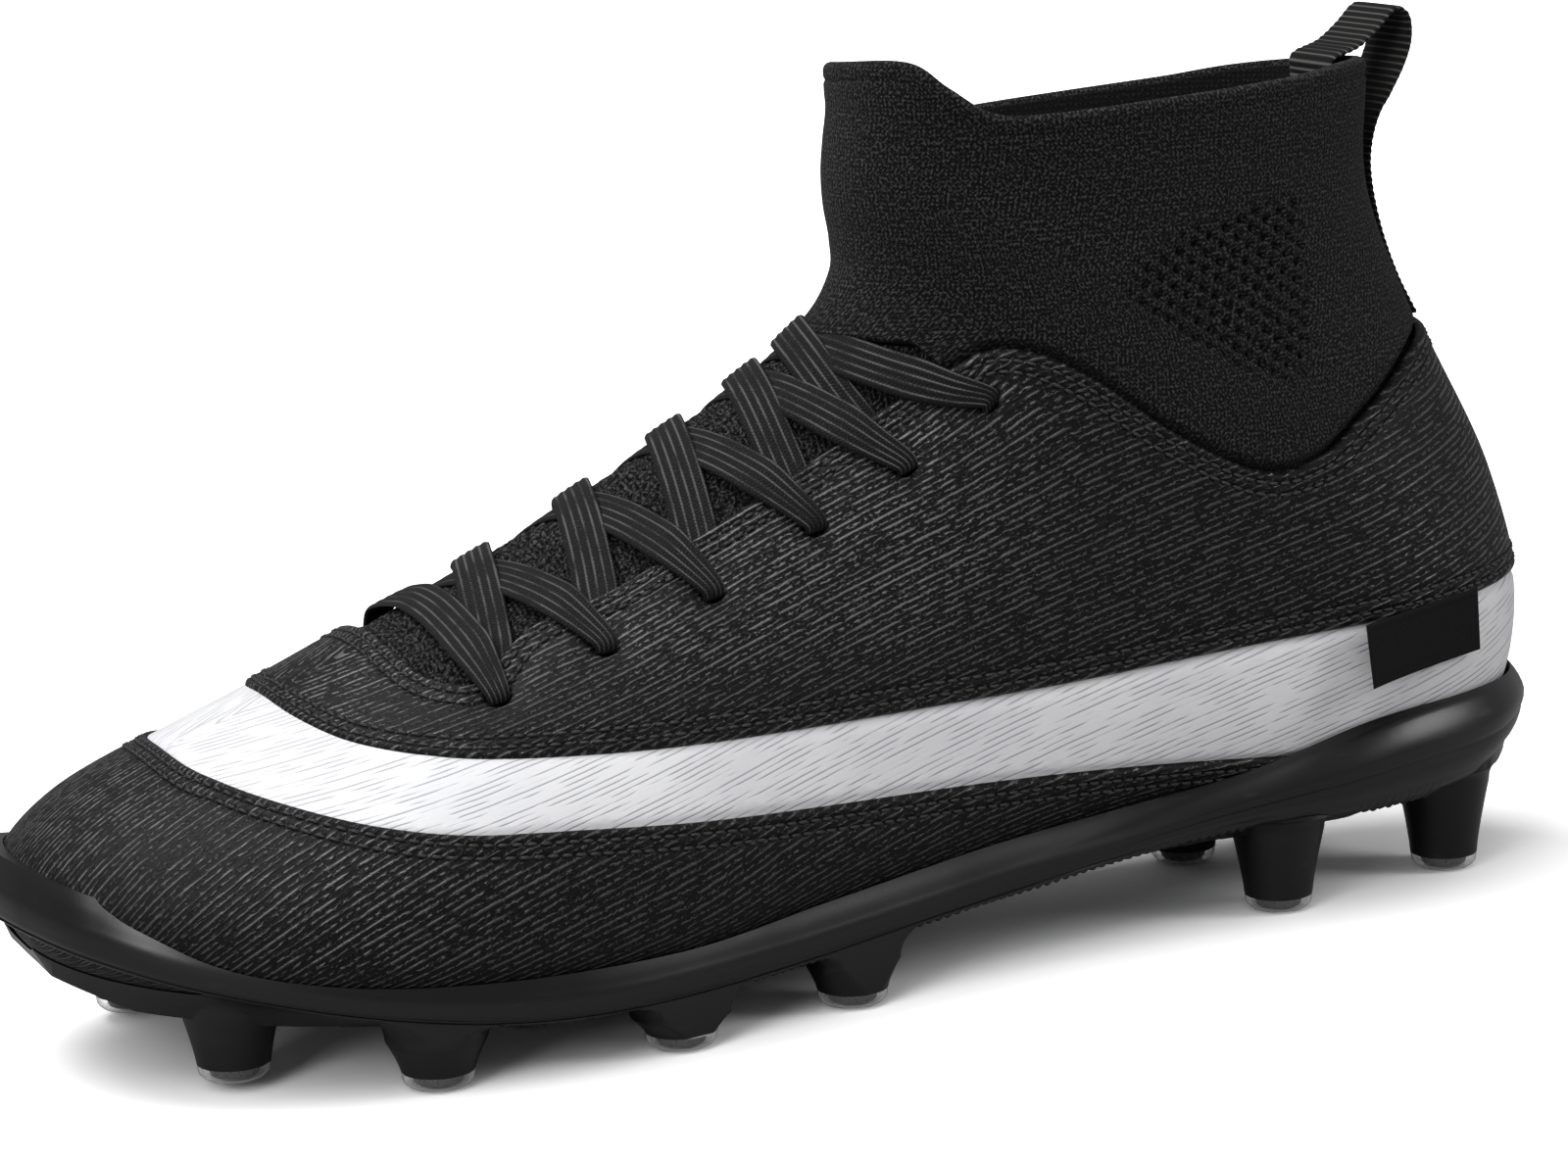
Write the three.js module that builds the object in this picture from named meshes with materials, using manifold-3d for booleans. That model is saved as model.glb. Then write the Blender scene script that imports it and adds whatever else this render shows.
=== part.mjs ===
// Soccer cleat: a left shoe with a knitted sock collar, laced panels and a studded plate.
// Millimetres. +X heel, -X toe, -Y outer (lateral) side, +Y inner (medial) side, +Z up.
// The stud tips stand on z = 0. At the end the whole shoe is centred over the origin.
//
// Every layer of the upper is an offset of one form, a lofted foot shape. A layer is the space between
// two offsets of that form, trimmed by outlines that are drawn in side view.

import * as THREE from "three";
import { mergeVertices } from "three/addons/utils/BufferGeometryUtils.js";
import Module from "manifold-3d";

const wasm = await Module();
wasm.setup();

// ---------------------------------------------------------------- driving dimensions

// Layers, as offsets from the form: [inner face, outer face].
const LINING = [-4.5, -3.6];
const THROAT = [-3.3, -2.7];
const SEAM = [-3.0, -2.3];
const SOCK = [-3.0, 0];
const BOARD = [-3.0, -1.2];
const STIFFENER = [-3.0, -1.6];
const FOAM = [-3.0, -1.0];
const BAND = [-0.9, -0.2];
const PANEL = [-0.6, 0.9];
const SOCKLINER = [-7.6, -4.8];
const GAP = 0.3;
const PLATE_INNER = PANEL[1] + GAP;

const OVERLAP = 4;
const LASTING_SHARE = 0.62;
const BOARD_SHARE = 0.74;
const SOCKLINER_SHARE = 0.8;

const STUD_BASE_R = 9.2;
const STUD_TIP_R = 6.3;
const STUD_CAP = 2.6;

const LACE_WIDTH = 6.4;
const LACE_PINCH = 3.6;
const LACE_THICK = 0.9;
const LACE_UNDER = -1.4;
const LACE_OVER = 1.9;

const WEBBING_WIDTH = 14;
const WEBBING_THICK = 1.2;

// ---------------------------------------------------------------- the form

// One row per cross-section, from the toe to the top of the collar. [xo, zo] lies on the sole or at the
// back of the heel, [xi, zi] on the ridge of the instep or at the front of the ankle. wl and wm are the
// half widths on the outer and inner side, yo and yi the centre line at both ends, m the share of the
// height where the section is widest, nb and nt the fullness of its lower and upper part.
const FORM = [
  [-143, 31, -143, 31, 0, 0, 5, 5, 0.45, 2.6, 2.0],
  [-139, 23, -139, 39, 18, 17, 5, 5, 0.45, 2.6, 2.0],
  [-128, 18, -128, 47, 31, 29, 4, 5, 0.42, 2.8, 2.0],
  [-111, 15, -111, 54, 42, 36, 3, 5, 0.38, 3.0, 2.0],
  [-90, 13, -91, 61.6, 48, 41, 1, 5, 0.34, 3.2, 2.0],
  [-65, 12, -70, 71, 50, 44, 0, 5, 0.31, 3.4, 1.9],
  [-38, 12, -47, 82.2, 48, 43, 0, 4, 0.3, 3.4, 1.8],
  [-8, 13, -25, 94.2, 42, 39, 0, 3, 0.32, 3.2, 1.8],
  [25, 15, -4, 106, 37, 35, 0, 2, 0.34, 3.0, 1.9],
  [62, 18, 8.5, 116, 35, 33, 0, 0, 0.36, 2.9, 1.9],
  [103, 19, 14, 124, 35, 34, 0, 0, 0.36, 2.8, 2.0],
  [138, 25, 14.2, 130, 35, 34, 0, 0, 0.38, 2.4, 2.1],
  [150, 46, 13.6, 135.5, 34, 34, 0, 0, 0.42, 2.1, 2.2],
  [144.6, 74, 13.5, 141, 32, 33, 0, 0, 0.48, 2.1, 2.2],
  [130, 104, 14.2, 147, 30, 31, 0, 0, 0.5, 2.1, 2.2],
  [119.6, 130, 15, 152, 30, 30, 0, 0, 0.5, 2.1, 2.2],
  [119.4, 151, 15, 157, 31, 31, 0, 0, 0.5, 2.1, 2.2],
  [120.2, 172, 15, 177, 31, 31, 0, 0, 0.5, 2.1, 2.2],
];
// Columns that mirror about the toe tip; the others change sign there.
const EVEN = [true, false, true, false, false, false, true, true, true, true, true];
const TOP = FORM.length - 1;

function formRow(t) {
  const before = FORM[0].map((v, k) => (EVEN[k] ? FORM[1][k] : 2 * v - FORM[1][k]));
  const after = FORM[TOP].map((v, k) => 2 * v - FORM[TOP - 1][k]);
  const rows = [before, ...FORM, after];
  const i = Math.min(Math.max(Math.floor(t), 0), TOP - 1);
  const f = t - i;
  return FORM[0].map((_, k) => {
    const [a, b, c, d] = [rows[i][k], rows[i + 1][k], rows[i + 2][k], rows[i + 3][k]];
    const m1 = (c - a) / 2;
    const m2 = (d - b) / 2;
    return (2 * f ** 3 - 3 * f ** 2 + 1) * b + (f ** 3 - 2 * f ** 2 + f) * m1
      + (3 * f ** 2 - 2 * f ** 3) * c + (f ** 3 - f ** 2) * m2;
  });
}

const HALF_STEPS = 96;

// Half a cross-section from the sole to the ridge, with the running length at each point.
function halfSection(t, side) {
  const [xo, zo, xi, zi, wl, wm, yo, yi, m, nb, nt] = formRow(t);
  const width = side < 0 ? wl : wm;
  const points = [];
  const lengths = [0];
  for (let k = 0; k <= HALF_STEPS; k++) {
    const c = Math.cos((Math.PI * k) / HALF_STEPS);
    const s = Math.sin((Math.PI * k) / HALF_STEPS);
    const power = c > 0 ? 2 / nb : 2 / nt;
    const rise = c > 0 ? m * (1 - c ** power) : m + (1 - m) * (-c) ** power;
    const out = side * width * Math.max(s, 0) ** power;
    points.push(new THREE.Vector3(xo + (xi - xo) * rise, yo + (yi - yo) * rise + out, zo + (zi - zo) * rise));
    if (k > 0) lengths.push(lengths[k - 1] + points[k].distanceTo(points[k - 1]));
  }
  return { points, lengths, total: lengths[HALF_STEPS] };
}

const sectionCache = new Map();
function cachedSection(t, side) {
  const key = `${t.toFixed(4)} ${side}`;
  if (!sectionCache.has(key)) sectionCache.set(key, halfSection(t, side));
  return sectionCache.get(key);
}

// A point of the form at station t and girth g: 0 is the ridge, -1 and 1 the middle of the sole reached
// over the outer and the inner side.
function formPoint(t, g) {
  const { points, lengths, total } = cachedSection(t, g < 0 ? -1 : 1);
  const want = (1 - Math.abs(g)) * total;
  let k = 1;
  while (k < HALF_STEPS && lengths[k] < want) k++;
  const span = Math.max(lengths[k] - lengths[k - 1], 1e-9);
  return points[k - 1].clone().lerp(points[k], THREE.MathUtils.clamp((want - lengths[k - 1]) / span, 0, 1));
}

function formNormal(t, g) {
  const [dt, dg] = [0.02, 0.02];
  const along = formPoint(Math.min(t + dt, TOP), g).sub(formPoint(t - dt, g));
  const wrap = (v) => (v > 1 ? v - 2 : v < -1 ? v + 2 : v);
  const around = formPoint(t, wrap(g + dg)).sub(formPoint(t, wrap(g - dg)));
  return around.cross(along).normalize().negate();
}

// The shared grid of all layers: the toe tip, then one ring per station.
const STATIONS = [0.35, 1, 1.7, 2.5, 3.3, 4.2, 5.1, 6, 7, 8, 9, 10, 10.7, 11.3, 12, 13, 14, 15, 16, 17];
const RING = 20;
const girthOf = (j) => -1 + (2 * j) / RING;
const grid = STATIONS.map((t) => Array.from({ length: RING }, (_, j) => ({
  point: formPoint(t, girthOf(j)),
  normal: formNormal(t, girthOf(j)),
})));
const TOE_TIP = formPoint(0, 0);

function meshGeometry(vertices, triangles) {
  const geometry = new THREE.BufferGeometry();
  const places = vertices.flatMap((v) => [v.x, v.y, v.z]);
  geometry.setAttribute("position", new THREE.Float32BufferAttribute(places, 3));
  geometry.setIndex(triangles.flat());
  return geometry;
}

function offsetForm(offset) {
  const vertices = [TOE_TIP.clone().add(new THREE.Vector3(-offset, 0, 0))];
  for (const ring of grid) {
    for (const { point, normal } of ring) vertices.push(point.clone().addScaledVector(normal, offset));
  }
  const last = grid.length - 1;
  const cap = vertices.length;
  vertices.push(formPoint(TOP, 0).add(formPoint(TOP, 1)).multiplyScalar(0.5));
  const at = (i, j) => 1 + i * RING + (j % RING);
  const triangles = [];
  for (let j = 0; j < RING; j++) {
    triangles.push([0, at(0, j), at(0, j + 1)]);
    triangles.push([cap, at(last, j + 1), at(last, j)]);
    for (let i = 0; i < last; i++) {
      triangles.push([at(i, j), at(i + 1, j), at(i + 1, j + 1)]);
      triangles.push([at(i, j), at(i + 1, j + 1), at(i, j + 1)]);
    }
  }
  return meshGeometry(vertices, triangles);
}

// A point of the faceted grid at station t and signed distance r from the ridge, raised by an offset.
function onGrid(t, r, offset) {
  const girth = r / cachedSection(t, r < 0 ? -1 : 1).total;
  const column = ((girth + 1) / 2) * RING;
  const i = Math.min(STATIONS.findLastIndex((s) => s <= t), STATIONS.length - 2);
  const j = Math.floor(column);
  const u = (t - STATIONS[i]) / (STATIONS[i + 1] - STATIONS[i]);
  const v = column - j;
  const raised = ({ point, normal }) => point.clone().addScaledVector(normal, offset);
  const a = grid[i][j % RING];
  const c = grid[i + 1][(j + 1) % RING];
  const b = u > v ? grid[i + 1][j % RING] : grid[i][(j + 1) % RING];
  const [wa, wb, wc] = u > v ? [1 - u, u - v, v] : [1 - v, v - u, u];
  const place = raised(a).multiplyScalar(wa).addScaledVector(raised(b), wb).addScaledVector(raised(c), wc);
  const normal = a.normal.clone().multiplyScalar(wa);
  normal.addScaledVector(b.normal, wb).addScaledVector(c.normal, wc);
  return { place, normal: normal.normalize() };
}

// ---------------------------------------------------------------- solids

const MERGE_TOLERANCE = 1e-4;

function toSolid(geometry) {
  const bare = geometry.clone();
  bare.deleteAttribute("normal");
  bare.deleteAttribute("uv");
  const merged = mergeVertices(bare, MERGE_TOLERANCE);
  return new wasm.Manifold(new wasm.Mesh({
    numProp: 3,
    vertProperties: new Float32Array(merged.attributes.position.array),
    triVerts: new Uint32Array(merged.index.array),
  }));
}

function toGeometry(solid) {
  const { vertProperties, triVerts } = solid.getMesh();
  const geometry = new THREE.BufferGeometry();
  geometry.setAttribute("position", new THREE.BufferAttribute(new Float32Array(vertProperties), 3));
  geometry.setIndex(new THREE.BufferAttribute(new Uint32Array(triVerts), 1));
  return geometry;
}

const formCache = new Map();
function form(offset) {
  if (!formCache.has(offset)) formCache.set(offset, toSolid(offsetForm(offset)));
  return formCache.get(offset);
}
const layer = ([inner, outer]) => form(outer).subtract(form(inner));
const grown = ([inner, outer]) => [inner - GAP, outer + GAP];

// ---------------------------------------------------------------- outlines in side view

const FAR = 200;
const LOW = -20;
const HIGH = 220;
// A height above the ridge of the forefoot, where an outline leaves the form.
const OVER_RIDGE = 90;

function smooth(points, steps = 1) {
  const curve = new THREE.SplineCurve(points.map(([x, z]) => new THREE.Vector2(x, z)));
  return curve.getPoints((points.length - 1) * steps).map(({ x, y }) => [x, y]);
}
const lifted = (line, rise) => line.map(([x, z]) => [x, z + rise]);
const moved = (line, d) => line.map(([x, z]) => [x + d, z + d]);

function sidePrism(outline, fall = 0) {
  const shape = new THREE.Shape(outline.map(([x, z]) => new THREE.Vector2(x, z)));
  const geometry = new THREE.ExtrudeGeometry(shape, { depth: FAR, bevelEnabled: false });
  geometry.rotateX(Math.PI / 2).translate(0, FAR / 2, 0);
  geometry.applyMatrix4(new THREE.Matrix4().set(1, 0, 0, 0, 0, 1, 0, 0, 0, -fall, 1, 0, 0, 0, 0, 1));
  return toSolid(geometry);
}
const endOf = (line) => line[line.length - 1];
const below = (line, fall) => sidePrism([
  ...line, [FAR, endOf(line)[1]], [FAR, LOW], [-FAR, LOW], [-FAR, line[0][1]],
], fall);
const above = (line) => sidePrism([...line, [FAR, endOf(line)[1]], [FAR, HIGH], [line[0][0], HIGH]]);

const TOE_PANEL_EDGE = [[-114.2, OVER_RIDGE], ...smooth([
  [-114.2, 56], [-113.6, 52.8], [-109.5, 51], [-101, 48.4], [-90, 45.6], [-76, 43.3], [-56, 41.9],
  [-17, 38.6], [40, 35.4], [92, 31], [150, 25],
])];
const QUARTER_EDGE = [[-94.6, OVER_RIDGE], ...smooth([
  [-94.6, 62.5], [-95.7, 60], [-94.2, 58.4], [-89, 56.3], [-79, 54.5], [-66, 53.4], [-16, 51.8],
  [35, 51.9], [80, 54.2], [158, 57],
])];
const THROAT_EDGE = [[-75.5, OVER_RIDGE], ...smooth([
  [-75.5, 68], [-74.2, 65.2], [-70.5, 63.8], [-65.5, 64.4], [-55, 71], [-40, 76], [-24, 83], [-5, 91.8],
  [13.5, 102.3], [25, 108],
])];
const TOPLINE = smooth([
  [25, 108], [32, 110.8], [40, 109.6], [50, 104], [64, 93.5], [80, 85.4], [92, 86.4], [104, 93.2],
  [120, 102], [134, 106], [150, 108],
]);
const QUARTER_TOP = [...THROAT_EDGE, ...TOPLINE.slice(1)];
const SOCK_FRONT = [[0, HIGH], [0, 115], [20, 112.6], [32, 111]];
const RIM = smooth([
  [-10, 160.6], [9, 160.6], [20.5, 160], [26.5, 155], [33.5, 149.9], [43, 149.2], [65, 150.4], [93, 152.2],
  [112, 154], [150, 154.4],
], 3);
// The rim falls towards the inner side.
const RIM_FALL = 0.075;

// ---------------------------------------------------------------- outlines in plan

// The footprint, narrowed to a share of the form's width.
function planPrism(share) {
  const rows = FORM.slice(1, 12);
  const outer = rows.map((row) => [row[0], row[6] - share * row[4]]);
  const inner = rows.map((row) => [row[0], row[6] + share * row[5]]).reverse();
  const toe = [-126 - 14 * share, 5];
  const heel = [126 + 20 * share, 0];
  const outline = [toe, ...outer.slice(1), heel, ...inner.slice(0, -1)];
  const shape = new THREE.Shape(outline.map(([x, y]) => new THREE.Vector2(x, y)));
  return toSolid(new THREE.ExtrudeGeometry(shape, { depth: 60, bevelEnabled: false }));
}
const SOLE_LEVEL = [[-150, 25], [-110, 22], [-60, 20.5], [60, 25], [110, 26.5], [150, 30]];
const soleArea = (share) => planPrism(share).intersect(below(SOLE_LEVEL));

// ---------------------------------------------------------------- outsole plate

// The plate's edge seen from below, toe to heel, then the height of its upper edge and of its underside.
const PLATE_OUTER_SIDE = [
  [-147, 5], [-143.5, -9], [-136, -23.5], [-120, -36.5], [-92, -46], [-60, -48.5], [-22, -42.5], [22, -35.5],
  [62, -34], [100, -37.5], [130, -31], [147, -16], [153, 0],
];
const PLATE_INNER_SIDE = [
  [-147, 5], [-143.5, 19], [-136, 30], [-119, 38], [-92, 42], [-60, 43.5], [-22, 40.5], [22, 34.5],
  [62, 33], [100, 36], [130, 31], [147, 16], [153, 0],
];
const PLATE_TOP = [
  [-147, 35], [-136, 31.4], [-118, 25.4], [-92, 19], [-60, 15.4], [-28, 15.4], [10, 18.4], [50, 23.4],
  [75, 28.4], [92, 32.6], [115, 36.6], [153, 37.6],
];
const PLATE_UNDERSIDE = [
  [-147, 28.4], [-136, 24.6], [-118, 19.4], [-92, 13.6], [-65, 10], [-30, 9.6], [10, 13], [50, 17],
  [75, 18.9], [100, 19.2], [130, 20.4], [153, 25],
];
// Rings of the plate's wall: [share of the way from the underside to the top edge, inset].
const PLATE_RINGS = [[1, 2.2], [0.8, 0.4], [0.45, 0], [0.12, 1.2], [0, 3]];
const PLATE_STEPS = 15;
// The belly of the plate: its inset, and how far it lies under the sole of the form.
const BELLY_INSET = 12;
const BELLY_DEPTH = 3.0;
const FORM_SOLE = FORM.slice(0, 13).map(([xo, zo]) => [xo, zo]);

function heightAt(profile, x) {
  const next = profile.findIndex(([px]) => px >= x);
  const k = next < 0 ? profile.length - 1 : Math.max(1, next);
  const [[x0, z0], [x1, z1]] = [profile[k - 1], profile[k]];
  return z0 + ((z1 - z0) * (x - x0)) / (x1 - x0);
}

function plateTub() {
  const sides = [PLATE_OUTER_SIDE, PLATE_INNER_SIDE].map((side) => {
    const curve = new THREE.SplineCurve(side.map(([x, y]) => new THREE.Vector2(x, y)));
    // Closer together at the toe and the heel, where the outline turns.
    return Array.from({ length: PLATE_STEPS + 1 }, (_, k) => {
      const even = k / PLATE_STEPS;
      return curve.getPointAt(0.35 * even + (0.65 * (1 - Math.cos(Math.PI * even))) / 2);
    });
  });
  const loop = [...sides[0], ...sides[1].slice(1, -1).reverse()];
  const count = loop.length;
  const inward = loop.map((_, k) => {
    const tangent = loop[(k + 1) % count].clone().sub(loop[(k + count - 1) % count]).normalize();
    return new THREE.Vector2(-tangent.y, tangent.x);
  });
  const vertices = [];
  const addRing = (inset, height) => loop.forEach((point, k) => {
    const { x, y } = point.clone().addScaledVector(inward[k], inset);
    vertices.push(new THREE.Vector3(x, y, height(x)));
  });
  const [low, high] = [(x) => heightAt(PLATE_UNDERSIDE, x), (x) => heightAt(PLATE_TOP, x)];
  for (const [share, inset] of PLATE_RINGS) addRing(inset, (x) => low(x) + share * (high(x) - low(x)));
  addRing(BELLY_INSET, (x) => Math.min(low(x), heightAt(FORM_SOLE, x) - BELLY_DEPTH));
  const triangles = [];
  for (let ring = 0; ring < PLATE_RINGS.length; ring++) {
    for (let k = 0; k < count; k++) {
      const [a, b] = [ring * count + k, ring * count + ((k + 1) % count)];
      triangles.push([a, a + count, b], [b, a + count, b + count]);
    }
  }
  const bottom = PLATE_RINGS.length * count;
  for (const [base, flip] of [[0, false], [bottom, true]]) {
    for (let k = 0; k < PLATE_STEPS; k++) {
      const quad = [k, k + 1, (count - k - 1) % count, (count - k) % count].map((n) => base + n);
      const faces = [[quad[0], quad[1], quad[2]], [quad[0], quad[2], quad[3]]];
      for (const face of faces) {
        if (new Set(face).size < 3) continue;
        triangles.push(flip ? [face[0], face[2], face[1]] : face);
      }
    }
  }
  return toSolid(meshGeometry(vertices, triangles));
}

// Studs: name, centre x and y, and the height of the tip above the ground.
const STUDS = [
  ["outer_toe", -112, -20, 1.5], ["outer_front", -82, -37.5, 0], ["outer_ball", -38.5, -38.8, 0],
  ["outer_waist", -3, -32, 0], ["inner_toe", -116, 28, 1.5], ["inner_front", -84, 33, 0],
  ["inner_ball", -45, 34, 0], ["inner_waist", -6, 29, 0], ["centre", -56, -13, 0],
  ["outer_heel_front", 90, -20, 0], ["outer_heel_rear", 131, -12, 0],
  ["inner_heel_front", 91, 18, 0], ["inner_heel_rear", 113, 19, 0],
];
const STUD_SIDES = 10;

function standing(radiusBottom, radiusTop, bottom, top, x, y) {
  const geometry = new THREE.CylinderGeometry(radiusTop, radiusBottom, top - bottom, STUD_SIDES);
  return geometry.rotateX(Math.PI / 2).translate(x, y, (top + bottom) / 2);
}

function outsolePlate() {
  const filler = layer([BAND[0], PLATE_INNER + 1]).intersect(soleArea(LASTING_SHARE - 0.02));
  let plate = plateTub();
  for (const [, x, y, tip] of STUDS) {
    const root = heightAt(PLATE_UNDERSIDE, x) + 2;
    plate = plate.add(toSolid(standing(STUD_TIP_R, STUD_BASE_R, tip + STUD_CAP, root, x, y)));
  }
  return plate.subtract(form(PLATE_INNER).subtract(filler));
}

// ---------------------------------------------------------------- lace

// Station and distance from the ridge of each eyelet, on the outer side.
const EYELETS = [[5.2, 34.5], [6.02, 35], [6.87, 35.5], [7.72, 34.5], [8.63, 34.8], [9.85, 38]];
// How far each run sags towards the toe, in stations, where the ankle rises behind it.
const RUN_SAG = [0, 0, 0.05, 0.2, 0.6];
// Height over the form along a run that starts under one eyestay and lands on top of the other:
// [share of the run, height]. At each crossing one run passes beneath the run that goes across it.
const RUN_BENEATH = [
  [0, LACE_UNDER], [0.22, LACE_UNDER], [0.34, -1.2], [0.54, -0.9], [0.8, LACE_OVER], [1, LACE_OVER],
];
const RUN_ACROSS = [
  [0, LACE_UNDER], [0.22, LACE_UNDER], [0.36, 0], [0.5, 1.0], [0.8, LACE_OVER], [1, LACE_OVER],
];
const BAR = [[0, LACE_OVER], [0.2, LACE_OVER], [0.5, 1.2], [0.8, LACE_OVER], [1, LACE_OVER]];
const RUN_STEPS = 12;
const TURN = 1.3;
const HOLE_R = 3;
const HOLE_DEPTH = 8;
const HOLE_SIDES = 10;
// Distances past the last eyelet where the tail lies flat, and where its stiff tip starts and ends.
const TAIL_FLAT = 2.5;
const TAIL_END = 14;
const TIP_START = 14.4;
const TIP_END = 24;
const TIP_WIDTH = 3.8;
const TIP_THICK = 1.1;
// The inner side of the form is narrower, so its eyelets sit closer to the ridge.
const INNER_EYELETS = 0.93;
const eyeletAt = (row, side) => [EYELETS[row][0], side * EYELETS[row][1] * (side < 0 ? 1 : INNER_EYELETS)];

function lacePath() {
  const knots = [];
  const add = (t, r, offset, width) => knots.push({ ...onGrid(t, r, offset), width });
  const run = ([t0, r0], [t1, r1], sag, heights) => {
    for (let k = 1; k < RUN_STEPS; k++) {
      const s = k / RUN_STEPS;
      add(t0 + (t1 - t0) * s - sag * 4 * s * (1 - s), r0 + (r1 - r0) * s, heightAt(heights, s), LACE_WIDTH);
    }
  };
  const turn = (row, side) => {
    const [t, r] = eyeletAt(row, side);
    add(t, r, LACE_OVER, LACE_PINCH);
    add(t, r + side * TURN, (LACE_OVER + LACE_UNDER) / 2, LACE_PINCH);
    add(t, r, LACE_UNDER, LACE_PINCH);
  };
  const tail = (side) => {
    const [t, r] = eyeletAt(EYELETS.length - 1, side);
    const steps = [
      [0, LACE_OVER], [TURN, (LACE_OVER + LACE_UNDER) / 2], [TAIL_FLAT, LACE_UNDER],
      [(TAIL_FLAT + TAIL_END) / 2, LACE_UNDER], [TAIL_END, LACE_UNDER],
    ];
    for (const [out, offset] of steps) add(t, r + side * out, offset, LACE_PINCH);
  };
  // One end of the lace, from the first row up; the outer side runs over at every crossing.
  const climb = (firstSide) => {
    let side = firstSide;
    for (let row = 0; row + 1 < EYELETS.length; row++) {
      turn(row, side);
      run(eyeletAt(row, side), eyeletAt(row + 1, -side), RUN_SAG[row], side < 0 ? RUN_ACROSS : RUN_BENEATH);
      side = -side;
    }
    tail(side);
  };
  climb(-1);
  const firstEnd = knots.splice(0).reverse();
  run(eyeletAt(0, -1), eyeletAt(0, 1), 0, BAR);
  climb(1);
  return [...firstEnd, ...knots];
}

// A flat strip along knots; its width stays square to the path and turns over smoothly.
function strip(knots, thick) {
  const sections = [];
  let last = null;
  knots.forEach(({ place, normal, width }, k) => {
    const before = knots[Math.max(k - 1, 0)].place;
    const after = knots[Math.min(k + 1, knots.length - 1)].place;
    const tangent = after.clone().sub(before).normalize();
    let across = last ? last.clone() : normal.clone().cross(tangent);
    across.addScaledVector(tangent, -across.dot(tangent)).normalize();
    const flat = normal.clone().cross(tangent);
    if (flat.length() > 0.6) {
      flat.normalize();
      across = flat.dot(across) < 0 ? flat.negate() : flat;
    }
    last = across;
    const up = tangent.clone().cross(across).normalize();
    sections.push([[-1, -1], [1, -1], [1, 1], [-1, 1]].map(([a, b]) => place.clone()
      .addScaledVector(across, (a * width) / 2).addScaledVector(up, (b * thick) / 2)));
  });
  const triangles = [];
  const end = (sections.length - 1) * 4;
  for (let k = 0; k + 1 < sections.length; k++) {
    for (let c = 0; c < 4; c++) {
      const [a, b] = [k * 4 + c, k * 4 + ((c + 1) % 4)];
      triangles.push([a, b, a + 4], [b, b + 4, a + 4]);
    }
  }
  triangles.push([0, 3, 2], [0, 2, 1], [end, end + 1, end + 2], [end, end + 2, end + 3]);
  return meshGeometry(sections.flat(), triangles);
}

function outwardSolid(geometry) {
  const solid = toSolid(geometry);
  if (solid.volume() > 0) return solid;
  const flipped = geometry.clone();
  const index = Array.from(geometry.index.array);
  for (let k = 0; k < index.length; k += 3) [index[k], index[k + 1]] = [index[k + 1], index[k]];
  flipped.setIndex(index);
  return toSolid(flipped);
}

function eyeletHoles() {
  const holes = [];
  for (const side of [-1, 1]) {
    for (let row = 0; row < EYELETS.length; row++) {
      const [t, r] = eyeletAt(row, side);
      const { place, normal } = onGrid(t, r + (side * TURN) / 2, 0);
      const geometry = new THREE.CylinderGeometry(HOLE_R, HOLE_R, HOLE_DEPTH, HOLE_SIDES);
      geometry.applyQuaternion(new THREE.Quaternion().setFromUnitVectors(new THREE.Vector3(0, 1, 0), normal));
      geometry.translate(place.x, place.y, place.z);
      holes.push(toSolid(geometry));
    }
  }
  return wasm.Manifold.union(holes);
}

function agletSolid(side) {
  const [t, r] = eyeletAt(EYELETS.length - 1, side);
  const knots = [TIP_START, (TIP_START + TIP_END) / 2, TIP_END]
    .map((out) => ({ ...onGrid(t, r + side * out, LACE_UNDER), width: TIP_WIDTH }));
  return outwardSolid(strip(knots, TIP_THICK));
}

// ---------------------------------------------------------------- pull loop and label

function webbing(path, width, thick) {
  const curve = path.map(([x, z]) => ({ place: new THREE.Vector3(x, 0, z), normal: null, width }));
  curve.forEach((knot, k) => {
    const before = curve[Math.max(k - 1, 0)].place;
    const after = curve[Math.min(k + 1, curve.length - 1)].place;
    const tangent = after.clone().sub(before).normalize();
    knot.normal = new THREE.Vector3(0, 1, 0).cross(tangent);
  });
  return outwardSolid(strip(curve, thick));
}
// The loop turns where it leaves the collar, so its inner leg stands clear of the sewn end below it.
const LOOP_PATH = smooth([
  [111.6, 154.6], [117.2, 156.4], [121.4, 159.4], [125.2, 162.9], [128, 161.4], [128.4, 157],
  [126.8, 152.4],
], 2);
const LOOP_INSIDE = [[111.6, 141], [111.6, 153.1]];
const LOOP_OUTSIDE = [[126.3, 151.6], [124, 147.6], [121.9, 144], [121, 139], [121.1, 131]];

const LABEL_LENGTH = 30.5;
const LABEL_HEIGHT = 11.8;
const LABEL_THICK = 0.8;
const LABEL_CORNER = new THREE.Vector3(97.5, -39.1, 56);
const LABEL_RISE = 0.06;
const LABEL_TURN = 0.27;

function labelSolid() {
  const geometry = new THREE.BoxGeometry(LABEL_LENGTH, LABEL_THICK, LABEL_HEIGHT, 1, 1, 1);
  geometry.translate(LABEL_LENGTH / 2, 0, -LABEL_HEIGHT / 2);
  geometry.rotateY(-LABEL_RISE).rotateZ(LABEL_TURN).translate(LABEL_CORNER.x, LABEL_CORNER.y, LABEL_CORNER.z);
  return toSolid(geometry);
}

// ---------------------------------------------------------------- pieces

const underRim = below(RIM, RIM_FALL);
const lace = outwardSolid(strip(lacePath(), LACE_THICK));
const holes = eyeletHoles();
const lasting = soleArea(LASTING_SHARE);

const bandArea = (margin) => below(moved(QUARTER_EDGE, margin))
  .intersect(above(moved(TOE_PANEL_EDGE, -margin)));
const band = layer(BAND).intersect(bandArea(OVERLAP)).subtract(lasting);
const bandRoom = layer(grown(BAND)).intersect(bandArea(OVERLAP + GAP));

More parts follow.
